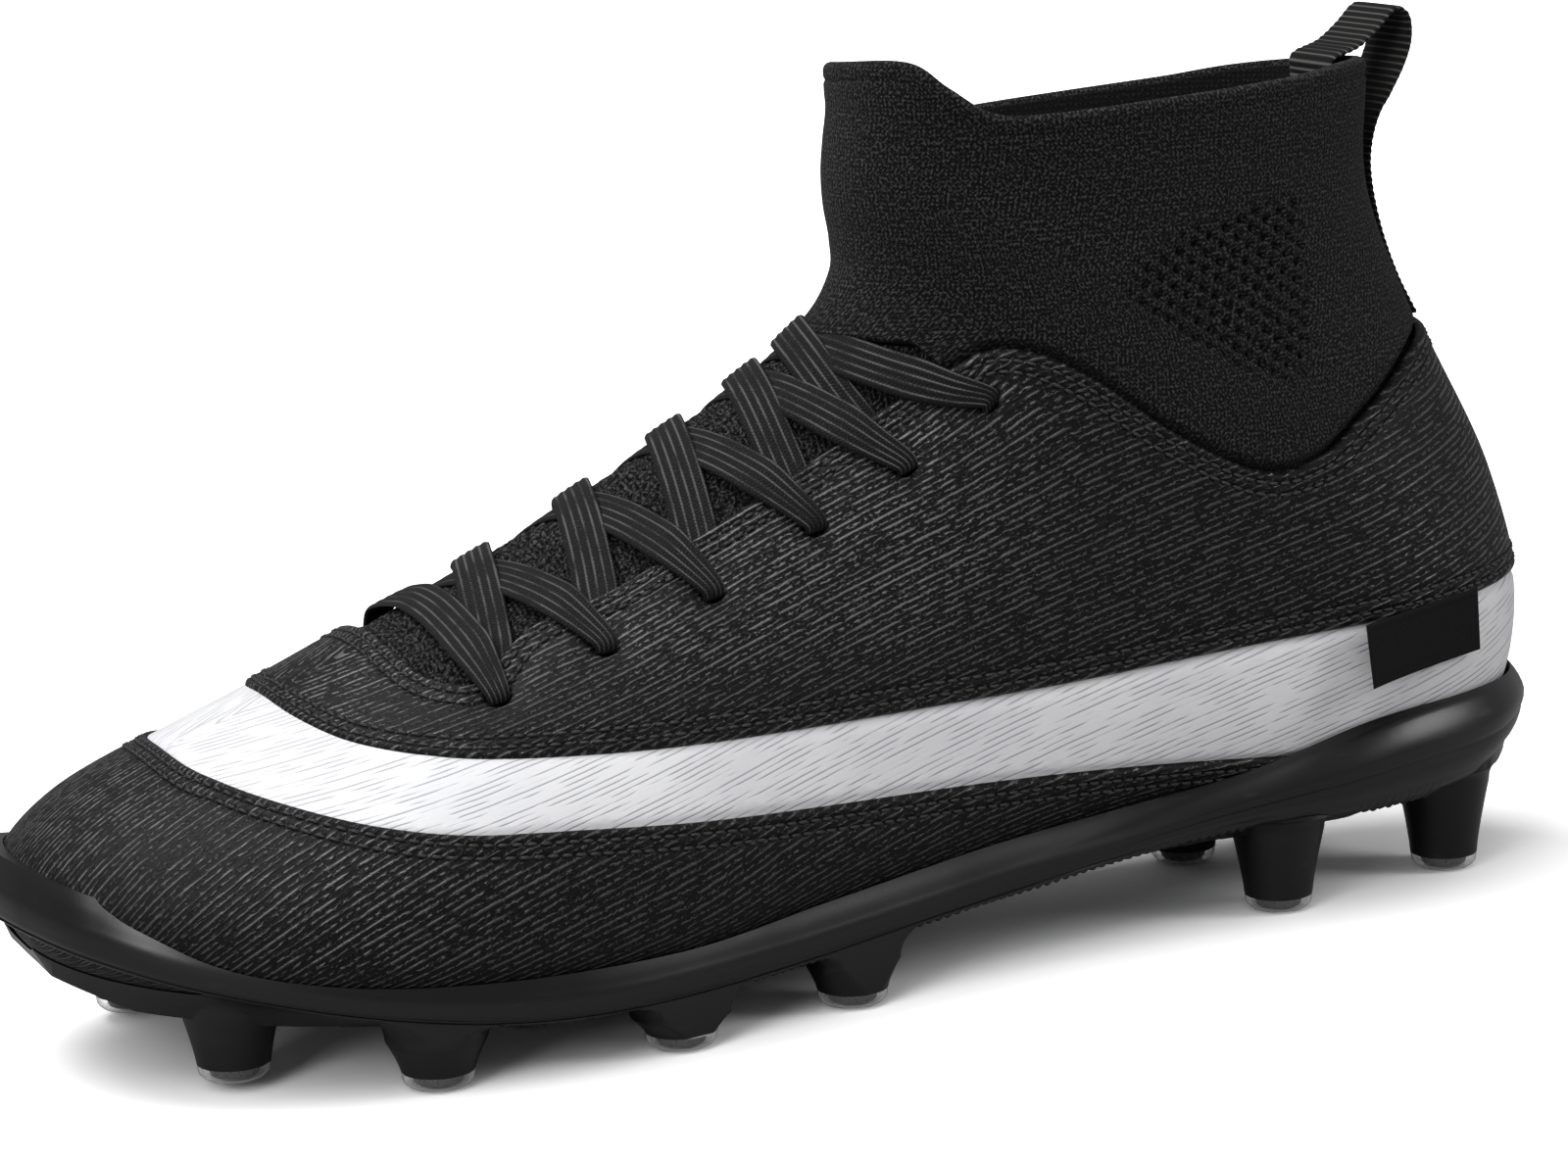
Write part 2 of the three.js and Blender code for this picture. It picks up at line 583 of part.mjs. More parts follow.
const quarterArea = above(QUARTER_EDGE).intersect(below(QUARTER_TOP));
const quarter = layer(PANEL).intersect(quarterArea).subtract(bandRoom).subtract(holes);
// The toe panel ends inside the heel cup.
const TOE_PANEL_END = [122, 28];
const TOE_PANEL_AREA = [
  ...TOE_PANEL_EDGE.slice(0, -1), TOE_PANEL_END, [TOE_PANEL_END[0], LOW], [-FAR, LOW], [-FAR, OVER_RIDGE],
];
const toePanel = layer([BAND[0], PANEL[1]]).intersect(sidePrism(TOE_PANEL_AREA)).subtract(bandRoom)
  .subtract(lasting);

const sockFront = sidePrism([...SOCK_FRONT, ...TOPLINE.slice(1), [FAR, endOf(TOPLINE)[1]], [FAR, HIGH]]);
const sockSeam = sidePrism([[25, 99], ...lifted(TOPLINE, -9), [FAR, 99], [FAR, HIGH], [25, HIGH]]);
const sockMargin = layer(SEAM).intersect(sockSeam);
const sock = layer(SOCK).intersect(sockFront).add(sockMargin).intersect(underRim)
  .subtract(layer([SEAM[1], 6]).intersect(below(lifted(QUARTER_TOP, GAP))));
const KNIT_AREA = [
  [-86, HIGH], [-86, 56], ...lifted(THROAT_EDGE.slice(1), -11), [24.6, 97], [24.6, 111.4], [20, 112.2],
  [-0.4, 114.6], [-0.4, HIGH],
];
const throatKnit = layer(THROAT).intersect(sidePrism(KNIT_AREA));

const COUNTER = [[74, 26], [70, 45], [84, 64], [118, 72], [160, 78], [170, 32], [150, 30.6], [110, 27.1]];
const ANKLE_FOAM = [
  [58, 62], [60, 80], [72, 76], [84, 73.5], [96, 76], [118, 89], [160, 97], [160, 80], [118, 74], [84, 66],
  [72, 54],
];
const TOE_PUFF = [[-160, 27], [-160, 60], [-112, 60], [-106, 30], [-106, 27]];

const colours = {
  plate: [0x17171a, 0.35, 0], clear: [0xd9dde0, 0.12, 0],
  leather: [0x1f1f21, 0.6, 0], white: [0xececee, 0.65, 0],
  knit: [0x202022, 0.95, 0], lace: [0x161617, 0.9, 0], board: [0xb9a88a, 0.9, 0], foam: [0x3a3a3d, 0.95, 0],
  lining: [0x2a2a2c, 0.95, 0], plastic: [0xcfd2d4, 0.5, 0], tape: [0x5a5a5d, 0.85, 0],
};

const group = new THREE.Group();
function piece(name, solid, look) {
  const [color, roughness, metalness] = colours[look];
  const material = new THREE.MeshStandardMaterial({ color, roughness, metalness });
  const mesh = new THREE.Mesh(toGeometry(solid), material);
  mesh.name = name;
  group.add(mesh);
}

piece("outsole_plate", outsolePlate(), "plate");
for (const [name, x, y, tip] of STUDS) {
  const clearTip = standing(STUD_TIP_R - 0.5, STUD_TIP_R, tip, tip + STUD_CAP, x, y);
  piece(`stud_tip_${name}`, toSolid(clearTip), "clear");
}
piece("insole_board", layer(BOARD).intersect(soleArea(BOARD_SHARE)), "board");
piece("sockliner", layer(SOCKLINER).intersect(soleArea(SOCKLINER_SHARE)), "foam");
piece("bootie_lining", layer(LINING).intersect(below(lifted(RIM, -1), RIM_FALL)), "lining");
piece("heel_counter", layer(STIFFENER).intersect(sidePrism(COUNTER)), "plastic");
piece("toe_puff", layer(STIFFENER).intersect(sidePrism(TOE_PUFF)), "plastic");
piece("ankle_foam", layer(FOAM).intersect(sidePrism(ANKLE_FOAM)), "foam");
piece("toe_panel", toePanel, "leather");
piece("side_band", band, "white");
piece("quarter_panel", quarter, "leather");
piece("throat_knit", throatKnit, "knit");
piece("sock_collar", sock, "knit");
piece("lace", lace, "lace");
piece("lace_tip_outer", agletSolid(-1), "plastic");
piece("lace_tip_inner", agletSolid(1), "plastic");
piece("pull_loop", webbing(LOOP_PATH, WEBBING_WIDTH, WEBBING_THICK), "lace");
piece("pull_loop_end_inside", webbing(LOOP_INSIDE, WEBBING_WIDTH, WEBBING_THICK), "lace");
piece("pull_loop_end_outside", webbing(LOOP_OUTSIDE, WEBBING_WIDTH, WEBBING_THICK), "lace");
piece("side_label", labelSolid(), "leather");

// The origin lies on the ground, under the middle of the shoe's box.
const box = new THREE.Box3().setFromObject(group);
const middle = box.getCenter(new THREE.Vector3());
group.position.set(-middle.x, -middle.y, -box.min.z);

export default group;
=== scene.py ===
"""The looks of a laced soccer cleat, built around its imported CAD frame.

Lengths are in millimetres in the design frame of the shoe (+X heel, -X toe, -Y outer side, +Y inner side,
+Z up) and are turned into metres in the row frame when a mesh is made. Every layer of the upper is an
offset of one lofted form. A sheet is a fine grid on that form, cut along outlines drawn in side view.
"""

import math

import bpy
import numpy as np
from mathutils import Matrix, Vector


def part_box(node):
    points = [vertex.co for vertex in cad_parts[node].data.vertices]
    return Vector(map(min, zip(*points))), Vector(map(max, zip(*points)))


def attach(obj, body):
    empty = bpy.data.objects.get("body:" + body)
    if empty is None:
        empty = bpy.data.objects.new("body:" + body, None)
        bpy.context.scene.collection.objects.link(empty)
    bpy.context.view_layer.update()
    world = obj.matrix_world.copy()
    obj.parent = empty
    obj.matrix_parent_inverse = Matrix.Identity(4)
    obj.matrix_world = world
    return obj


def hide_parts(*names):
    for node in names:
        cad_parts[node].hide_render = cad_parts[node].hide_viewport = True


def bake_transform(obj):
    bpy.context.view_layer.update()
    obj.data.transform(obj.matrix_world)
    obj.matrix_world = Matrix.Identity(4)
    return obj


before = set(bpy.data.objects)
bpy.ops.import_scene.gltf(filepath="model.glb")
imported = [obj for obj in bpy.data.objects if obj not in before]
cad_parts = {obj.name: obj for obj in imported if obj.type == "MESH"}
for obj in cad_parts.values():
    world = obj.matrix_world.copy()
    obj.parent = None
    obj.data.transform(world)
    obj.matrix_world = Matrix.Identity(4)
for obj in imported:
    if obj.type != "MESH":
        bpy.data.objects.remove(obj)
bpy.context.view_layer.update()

MM = 0.001

# The design frame lies where the outer front stud says.
OUTER_FRONT_STUD = (-82.0, -37.5)
stud_low, stud_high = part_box("stud_tip_outer_front")
SHIFT = np.array([
    (stud_low.x + stud_high.x) / 2 / MM - OUTER_FRONT_STUD[0],
    (stud_low.y + stud_high.y) / 2 / MM - OUTER_FRONT_STUD[1],
    stud_low.z / MM,
])


def ease(x, low, high):
    s = np.clip((np.asarray(x, float) - low) / (high - low), 0, 1)
    return s * s * (3 - 2 * s)


def to_row(points):
    """Design millimetres to metres in the row frame."""
    return (np.asarray(points, float) + SHIFT) * MM


# ------------------------------------------------------------------ the form

# xo zo: the sole or the back of the heel; xi zi: the ridge or the front of the ankle; wl wm: half widths;
# yo yi: centre line; m: where the section is widest; nb nt: fullness of its lower and upper part.
FORM = np.array([
    [-143, 31, -143, 31, 0, 0, 5, 5, 0.45, 2.6, 2.0],
    [-139, 23, -139, 39, 18, 17, 5, 5, 0.45, 2.6, 2.0],
    [-128, 18, -128, 47, 31, 29, 4, 5, 0.42, 2.8, 2.0],
    [-111, 15, -111, 54, 42, 36, 3, 5, 0.38, 3.0, 2.0],
    [-90, 13, -91, 61.6, 48, 41, 1, 5, 0.34, 3.2, 2.0],
    [-65, 12, -70, 71, 50, 44, 0, 5, 0.31, 3.4, 1.9],
    [-38, 12, -47, 82.2, 48, 43, 0, 4, 0.3, 3.4, 1.8],
    [-8, 13, -25, 94.2, 42, 39, 0, 3, 0.32, 3.2, 1.8],
    [25, 15, -4, 106, 37, 35, 0, 2, 0.34, 3.0, 1.9],
    [62, 18, 8.5, 116, 35, 33, 0, 0, 0.36, 2.9, 1.9],
    [103, 19, 14, 124, 35, 34, 0, 0, 0.36, 2.8, 2.0],
    [138, 25, 14.2, 130, 35, 34, 0, 0, 0.38, 2.4, 2.1],
    [150, 46, 13.6, 135.5, 34, 34, 0, 0, 0.42, 2.1, 2.2],
    [144.6, 74, 13.5, 141, 32, 33, 0, 0, 0.48, 2.1, 2.2],
    [130, 104, 14.2, 147, 30, 31, 0, 0, 0.5, 2.1, 2.2],
    [119.6, 130, 15, 152, 30, 30, 0, 0, 0.5, 2.1, 2.2],
    [119.4, 151, 15, 157, 31, 31, 0, 0, 0.5, 2.1, 2.2],
    [120.2, 172, 15, 177, 31, 31, 0, 0, 0.5, 2.1, 2.2],
], float)
# Columns that mirror about the toe tip; the others change sign there.
EVEN = np.array([True, False, True, False, False, False, True, True, True, True, True])
TOP = len(FORM) - 1
FINE_T = 24
FINE_G = 200


def form_rows(t):
    before = np.where(EVEN, FORM[1], 2 * FORM[0] - FORM[1])
    after = 2 * FORM[TOP] - FORM[TOP - 1]
    rows = np.vstack([before, FORM, after])
    i = np.clip(np.floor(t).astype(int), 0, TOP - 1)
    f = (t - i)[:, None]
    a, b, c, d = rows[i], rows[i + 1], rows[i + 2], rows[i + 3]
    start = (c - a) / 2
    end = (d - b) / 2
    return ((2 * f**3 - 3 * f**2 + 1) * b + (f**3 - 2 * f**2 + f) * start
            + (3 * f**2 - 2 * f**3) * c + (f**3 - f**2) * end)


def half_sections(t, side, steps=240):
    """Half cross-sections from the sole to the ridge, evenly spaced by running length, and their lengths."""
    xo, zo, xi, zi, wl, wm, yo, yi, m, nb, nt = form_rows(t).T[:, :, None]
    angle = np.linspace(0, math.pi, steps + 1)[None, :]
    c, s = np.cos(angle), np.maximum(np.sin(angle), 0)
    power = np.where(c > 0, 2 / nb, 2 / nt)
    rise = np.where(c > 0, m * (1 - np.abs(c)**power), m + (1 - m) * np.abs(c)**power)
    out = side * (wl if side < 0 else wm) * s**power
    points = np.stack([xo + (xi - xo) * rise, yo + (yi - yo) * rise + out, zo + (zi - zo) * rise], 2)
    lengths = np.zeros(points.shape[:2])
    lengths[:, 1:] = np.cumsum(np.linalg.norm(np.diff(points, axis=1), axis=2), 1)
    even = np.empty((len(t), FINE_G + 1, 3))
    for i in range(len(t)):
        want = np.linspace(0, lengths[i, -1], FINE_G + 1)
        for k in range(3):
            even[i, :, k] = np.interp(want, lengths[i], points[i, :, k])
    return even, lengths[:, -1]


fine_t = np.linspace(0, TOP, TOP * FINE_T + 1)
outer_half, outer_length = half_sections(fine_t, -1)
inner_half, inner_length = half_sections(fine_t, 1)
# Columns run from the middle of the sole over the outer side, the ridge and the inner side back to the sole.
form_points = np.concatenate([outer_half, inner_half[:, -2::-1]], 1)
along = np.gradient(form_points, axis=0)
around = np.empty_like(form_points)
around[:, 1:-1] = form_points[:, 2:] - form_points[:, :-2]
around[:, 0] = around[:, -1] = form_points[:, 1] - form_points[:, -2]
form_normals = -np.cross(around, along)
form_normals[0] = (-1, 0, 0)
form_normals /= np.maximum(np.linalg.norm(form_normals, axis=2, keepdims=True), 1e-9)


def lookup(table, t, g):
    """A value of a form table at station t and girth g: 0 ridge, -1 and 1 the middle of the sole."""
    ti = np.clip(t, 0, TOP) * FINE_T
    gi = np.mod(np.asarray(g) + 1, 2) * FINE_G
    i = np.minimum(ti.astype(int), len(table) - 2)
    j = np.minimum(gi.astype(int), 2 * FINE_G - 1)
    u, v = (ti - i)[..., None], (gi - j)[..., None]
    return ((table[i, j] * (1 - u) + table[i + 1, j] * u) * (1 - v)
            + (table[i, j + 1] * (1 - u) + table[i + 1, j + 1] * u) * v)


def half_length(t, g):
    """Running length from the sole to the ridge, on the side of g."""
    return np.where(np.asarray(g) < 0, np.interp(t, fine_t, outer_length), np.interp(t, fine_t, inner_length))


def form_at(t, g, offset=0.0):
    t, g = np.asarray(t, float), np.asarray(g, float)
    offset = np.asarray(offset, float)
    return lookup(form_points, t, g) + normal_at(t, g) * offset[..., None]


def normal_at(t, g):
    n = lookup(form_normals, np.asarray(t, float), np.asarray(g, float))
    return n / np.linalg.norm(n, axis=-1, keepdims=True)


# ------------------------------------------------------------------ outlines in side view

FAR = 200
LOW = -20
HIGH = 220
OVER_RIDGE = 90


def smooth(points, steps=8):
    """A Catmull-Rom curve through the points."""
    p = np.array(points, float)
    p = np.vstack([p[:1], p, p[-1:]])
    out = []
    for i in range(len(points) - 1):
        a, b, c, d = p[i:i + 4]
        f = np.linspace(0, 1, steps, endpoint=False)[:, None]
        start, end = (c - a) / 2, (d - b) / 2
        out.append((2 * f**3 - 3 * f**2 + 1) * b + (f**3 - 2 * f**2 + f) * start
                   + (3 * f**2 - 2 * f**3) * c + (f**3 - f**2) * end)
    return np.vstack(out + [p[-1:]])


def shifted(line, dx, dz):
    return np.asarray(line, float) + (dx, dz)


TOE_PANEL_EDGE = np.vstack([[[-114.2, OVER_RIDGE]], smooth([
    [-114.2, 56], [-113.6, 52.8], [-109.5, 51], [-101, 48.4], [-90, 45.6], [-76, 43.3], [-56, 41.9],
    [-17, 38.6], [40, 35.4], [92, 31], [150, 25]])])
QUARTER_EDGE = np.vstack([[[-94.6, OVER_RIDGE]], smooth([
    [-94.6, 62.5], [-95.7, 60], [-94.2, 58.4], [-89, 56.3], [-79, 54.5], [-66, 53.4], [-16, 51.8],
    [35, 51.9], [80, 54.2], [158, 57]])])
THROAT_EDGE = np.vstack([[[-75.5, OVER_RIDGE]], smooth([
    [-75.5, 68], [-74.2, 65.2], [-70.5, 63.8], [-65.5, 64.4], [-55, 71], [-40, 76], [-24, 83], [-5, 91.8],
    [13.5, 102.3], [25, 108]])])
TOPLINE = smooth([
    [25, 108], [32, 110.8], [40, 109.6], [50, 104], [64, 93.5], [80, 85.4], [92, 86.4], [104, 93.2],
    [120, 102], [134, 106], [150, 108]])
QUARTER_TOP = np.vstack([THROAT_EDGE, TOPLINE[1:]])
RIM = smooth([
    [-10, 160.6], [9, 160.6], [20.5, 160], [26.5, 155], [33.5, 149.9], [43, 149.2], [65, 150.4],
    [93, 152.2], [112, 154], [150, 154.4]])
UNDER_RIM = np.vstack([RIM, [[FAR, RIM[-1, 1]], [FAR, LOW], [-FAR, LOW], [-FAR, RIM[0, 1]]]])
# The rim falls towards the inner side.
RIM_FALL = 0.075
OVERLAP = 4.0


def inside(polygon, x, z):
    polygon = np.asarray(polygon, float)
    hit = np.zeros(np.shape(x), bool)
    for (x0, z0), (x1, z1) in zip(polygon, np.roll(polygon, -1, 0)):
        if z0 == z1:
            continue
        crosses = (z0 > z) != (z1 > z)
        hit ^= crosses & (x < x0 + (x1 - x0) * (z - z0) / (z1 - z0))
    return hit


def line_distance(line, points, normals, plane=(0, 2)):
    """Distance along the surface to a line drawn in side view (or in plan, for plane 0, 1)."""
    a, b = plane
    best = np.full(len(points), 1e9)
    direction = np.zeros((len(points), 2))
    p = points[:, [a, b]]
    for q0, q1 in zip(line[:-1], line[1:]):
        d = q1 - q0
        w = np.clip(((p - q0) @ d) / max(d @ d, 1e-12), 0, 1)
        gap = p - (q0 + w[:, None] * d)
        length = np.hypot(gap[:, 0], gap[:, 1])
        nearer = length < best
        best[nearer] = length[nearer]
        direction[nearer] = gap[nearer] / np.maximum(length[nearer], 1e-9)[:, None]
    slope = direction[:, 0] * normals[:, a] + direction[:, 1] * normals[:, b]
    return best / np.sqrt(np.maximum(1 - slope**2, 0.08))


# ------------------------------------------------------------------ sheets on the form

class Sheet:
    """A triangle grid over (t, g) on the form that can be split and trimmed along level lines."""

    def __init__(self, t_range, g_range, cell, t_cell=None):
        t0, t1 = t_range
        g0, g1 = g_range
        self.ring = g1 - g0 > 1.999
        rows = int(np.ceil((t1 - t0) * 26 / (t_cell or cell))) + 1
        middle = (t0 + t1) / 2
        columns = int(np.ceil((g1 - g0) * float(half_length(max(middle, 4), -1)) / cell)) + 1
        ts = np.linspace(t0, t1, rows)
        gs = np.linspace(g0, g1, columns)
        if self.ring:
            gs = gs[:-1]
        tip = t0 == 0
        grid_t = ts[1:] if tip else ts
        tt, gg = np.meshgrid(grid_t, gs, indexing="ij")
        self.t, self.g = tt.ravel(), gg.ravel()
        n = len(gs)
        i, j = np.meshgrid(np.arange(len(grid_t) - 1), np.arange(n if self.ring else n - 1), indexing="ij")
        a, b = i * n + j, i * n + (j + 1) % n
        c, d = a + n, b + n
        flip = ((i + j) % 2).astype(bool).ravel()
        a, b, c, d = (k.ravel() for k in (a, b, c, d))
        first = np.where(flip[:, None], np.stack([a, c, b], 1), np.stack([a, c, d], 1))
        second = np.where(flip[:, None], np.stack([b, c, d], 1), np.stack([a, d, b], 1))
        self.faces = np.vstack([first, second])
        if tip:
            self.t = np.append(self.t, 0.0)
            self.g = np.append(self.g, 0.0)
            apex = len(self.t) - 1
            j = np.arange(n if self.ring else n - 1)
            self.faces = np.vstack([self.faces, np.stack([np.full(len(j), apex), j, (j + 1) % n], 1)])
        self.fields = {}
        self.fixed = np.zeros(len(self.t), bool)
        self.orient()

    def orient(self):
        points, normals = self.points(), self.normals()
        a, b, c = (points[self.faces[:, k]] for k in range(3))
        facing = np.einsum("ij,ij->i", np.cross(b - a, c - a), normals[self.faces].mean(1))
        wrong = facing < 0
        self.faces[wrong] = self.faces[wrong][:, [0, 2, 1]]

    def points(self, offset=0.0):
        return form_at(self.t, self.g, offset)

    def normals(self):
        return normal_at(self.t, self.g)

    def add(self, name, values):
        self.fields[name] = np.asarray(values, float)

    def split(self, name, levels):
        """Inserts vertices where the field has each level, so that edges run along the level line."""
        for level in levels:
            self._snap(name, level)
            self._cut(name, level)

    def _crossing(self, name, level):
        s = self.fields[name] - level
        s[np.abs(s) < 1e-7] = 0
        edges = np.sort(np.vstack([self.faces[:, [0, 1]], self.faces[:, [1, 2]], self.faces[:, [2, 0]]]), 1)
        sa, sb = s[edges[:, 0]], s[edges[:, 1]]
        edges = np.unique(edges[sa * sb < 0], axis=0)
        return s, edges

    def _between(self, a, b, w):
        step = self.g[b] - self.g[a]
        step = step - 2 * np.round(step / 2)
        t = self.t[a] + w * (self.t[b] - self.t[a])
        g = np.mod(self.g[a] + w * step + 1, 2) - 1
        return t, g

    def _snap(self, name, level, near=0.22):
        s, edges = self._crossing(name, level)
        if not len(edges):
            return
        a, b = edges[:, 0], edges[:, 1]
        w = s[a] / (s[a] - s[b])
        for vertex, other, share in ((a, b, w), (b, a, 1 - w)):
            close = (share < near) & ~self.fixed[vertex]
            v, o, f = vertex[close], other[close], share[close]
            _, first = np.unique(v, return_index=True)
            v, o, f = v[first], o[first], f[first]
            free = ~self.fixed[v]
            v, o, f = v[free], o[free], f[free]
            t, g = self._between(v, o, f)
            for values in self.fields.values():
                values[v] = values[v] + f * (values[o] - values[v])
            self.t[v], self.g[v] = t, g
            self.fields[name][v] = level
            self.fixed[v] = True

    def _cut(self, name, level):
        s, edges = self._crossing(name, level)
        if not len(edges):
            self.fixed |= s == 0
            return
        a, b = edges[:, 0], edges[:, 1]
        w = s[a] / (s[a] - s[b])
        t, g = self._between(a, b, w)
        base = len(self.t)
        index = {(int(p), int(q)): base + k for k, (p, q) in enumerate(edges)}
        self.t = np.append(self.t, t)
        self.g = np.append(self.g, g)
        for key, values in self.fields.items():
            self.fields[key] = np.append(values, values[a] + w * (values[b] - values[a]))
        self.fields[name][base:] = level
        self.fixed = np.append(self.fixed | (s == 0), np.ones(len(edges), bool))
        s = np.append(s, np.zeros(len(edges)))
        sides = s[self.faces]
        mixed = (sides.max(1) > 0) & (sides.min(1) < 0)
        made = []
        for face in self.faces[mixed]:
            ring = []
            for k in range(3):
                p, q = int(face[k]), int(face[(k + 1) % 3])
                ring.append(p)
                if s[p] * s[q] < 0:
                    ring.append(index[(min(p, q), max(p, q))])
            for sign in (1, -1):
                part = [v for v in ring if s[v] * sign >= 0]
                for k in range(1, len(part) - 1):
                    made.append([part[0], part[k], part[k + 1]])
        self.faces = np.vstack([self.faces[~mixed], np.array(made, int).reshape(-1, 3)])

    def keep(self, name, level=0.0):
        """Drops the faces where the field is below the level."""
        low = self.fields[name][self.faces].mean(1)
        self.faces = self.faces[low > level]
        used, renumbered = np.unique(self.faces, return_inverse=True)
        self.faces = renumbered.reshape(-1, 3)
        self.t, self.g, self.fixed = self.t[used], self.g[used], self.fixed[used]
        self.fields = {k: v[used] for k, v in self.fields.items()}

    def level_lines(self, name, level):
        """Chains of vertices along a level that split() has put in."""
        on = np.abs(self.fields[name] - level) < 1e-6
        edges = np.sort(np.vstack([self.faces[:, [0, 1]], self.faces[:, [1, 2]], self.faces[:, [2, 0]]]), 1)
        edges = np.unique(edges[on[edges[:, 0]] & on[edges[:, 1]]], axis=0)
        links = {}
        for p, q in edges.tolist():
            links.setdefault(p, []).append(q)
            links.setdefault(q, []).append(p)
        chains, seen = [], set()
        starts = [p for p, near in links.items() if len(near) == 1] + list(links)
        for start in starts:
            if start in seen:
                continue
            chain, here = [start], start
            seen.add(start)
            while True:
                onward = [q for q in links[here] if q not in seen]
                if not onward:
                    break
                here = onward[0]
                seen.add(here)
                chain.append(here)
            if len(chain) > 2 and chain[0] in links[chain[-1]]:
                chain.append(chain[0])
            if len(chain) > 6:
                chains.append(np.array(chain))
        return chains

    def shell(self, outer, inner):
        """Vertices and faces of a closed shell between two offsets, given per vertex."""
        n = len(self.t)
        edges = np.vstack([self.faces[:, [0, 1]], self.faces[:, [1, 2]], self.faces[:, [2, 0]]])
        key = np.sort(edges, 1)
        _, first, counts = np.unique(key, axis=0, return_index=True, return_counts=True)
        rim = edges[first[counts == 1]]
        outer = np.broadcast_to(outer, n)
        inner = np.broadcast_to(inner, n)
        points = np.vstack([self.points(outer), self.points(inner)])
        a, b = rim[:, 0], rim[:, 1]
        faces = np.vstack([
            self.faces,
            self.faces[:, [0, 2, 1]] + n,
            np.stack([b, a, a + n], 1),
            np.stack([b, a + n, b + n], 1),
        ])
        return points, faces


# ------------------------------------------------------------------ making objects

def make_mesh(name, points, faces, uv=None, materials=(), face_material=None, sharp=None):
    mesh = bpy.data.meshes.new(name)
    mesh.from_pydata(to_row(points).tolist(), [], faces.tolist() if hasattr(faces, "tolist") else faces)
    mesh.polygons.foreach_set("use_smooth", np.ones(len(mesh.polygons), bool))
    if uv is not None:
        corner = np.empty(len(mesh.loops), np.int32)
        mesh.loops.foreach_get("vertex_index", corner)
        layer = mesh.uv_layers.new(name="surface")
        layer.data.foreach_set("uv", np.asarray(uv, np.float32)[corner].ravel())
    for m in materials:
        mesh.materials.append(m)
    if face_material is not None:
        mesh.polygons.foreach_set("material_index", np.asarray(face_material, np.int32))
    if sharp is not None:
        mesh.set_sharp_from_angle(angle=math.radians(sharp))
    mesh.validate()
    mesh.update()
    thing = bpy.data.objects.new(name, mesh)
    bpy.context.scene.collection.objects.link(thing)
    return thing


def finish_piece(thing, body="boot", nodes=()):
    if body:
        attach(thing, body)
    if nodes:
        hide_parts(*nodes)
    return thing


def ring_quads(rings, count, start=0):
    """Quads between successive rings of count points each."""
    k = np.arange(count)
    row = start + np.arange(rings - 1)[:, None] * count
    a, b = row + k, row + (k + 1) % count
    return np.stack([a, b, b + count, a + count], 2).reshape(-1, 4)


def flipped(quads):
    return quads[:, [0, 3, 2, 1]]


def sweep(points, normals, outline):
    """A section swept along points. outline holds (across, up) pairs, or one such list for each point."""
    points = np.asarray(points, float)
    tangents = np.gradient(points, axis=0)
    tangents /= np.linalg.norm(tangents, axis=1, keepdims=True)
    across = np.cross(normals, tangents)
    across /= np.linalg.norm(across, axis=1, keepdims=True)
    up = np.cross(tangents, across)
    outline = np.asarray(outline, float)
    if outline.ndim == 2:
        outline = np.broadcast_to(outline, (len(points),) + outline.shape)
    count = outline.shape[1]
    rings = points[:, None] + across[:, None] * outline[:, :, :1] + up[:, None] * outline[:, :, 1:]
    faces = ring_quads(len(points), count).tolist()
    last = (len(points) - 1) * count
    faces += [list(range(count))[::-1], list(range(last, last + count))]
    return rings.reshape(-1, 3), faces


def resampled(points, step, *extras):
    """Points along a polyline at even spacing, with further per-point values carried along."""
    lengths = np.concatenate([[0], np.cumsum(np.linalg.norm(np.diff(points, axis=0), axis=1))])
    count = max(int(round(lengths[-1] / step)), 2)
    want = np.linspace(0, lengths[-1], count + 1)
    out = [np.stack([np.interp(want, lengths, points[:, k]) for k in range(3)], 1)]
    for e in extras:
        e = np.asarray(e, float)
        if e.ndim == 1:
            out.append(np.interp(want, lengths, e))
        else:
            out.append(np.stack([np.interp(want, lengths, e[:, k]) for k in range(e.shape[1])], 1))
    return out


# ------------------------------------------------------------------ material nodes

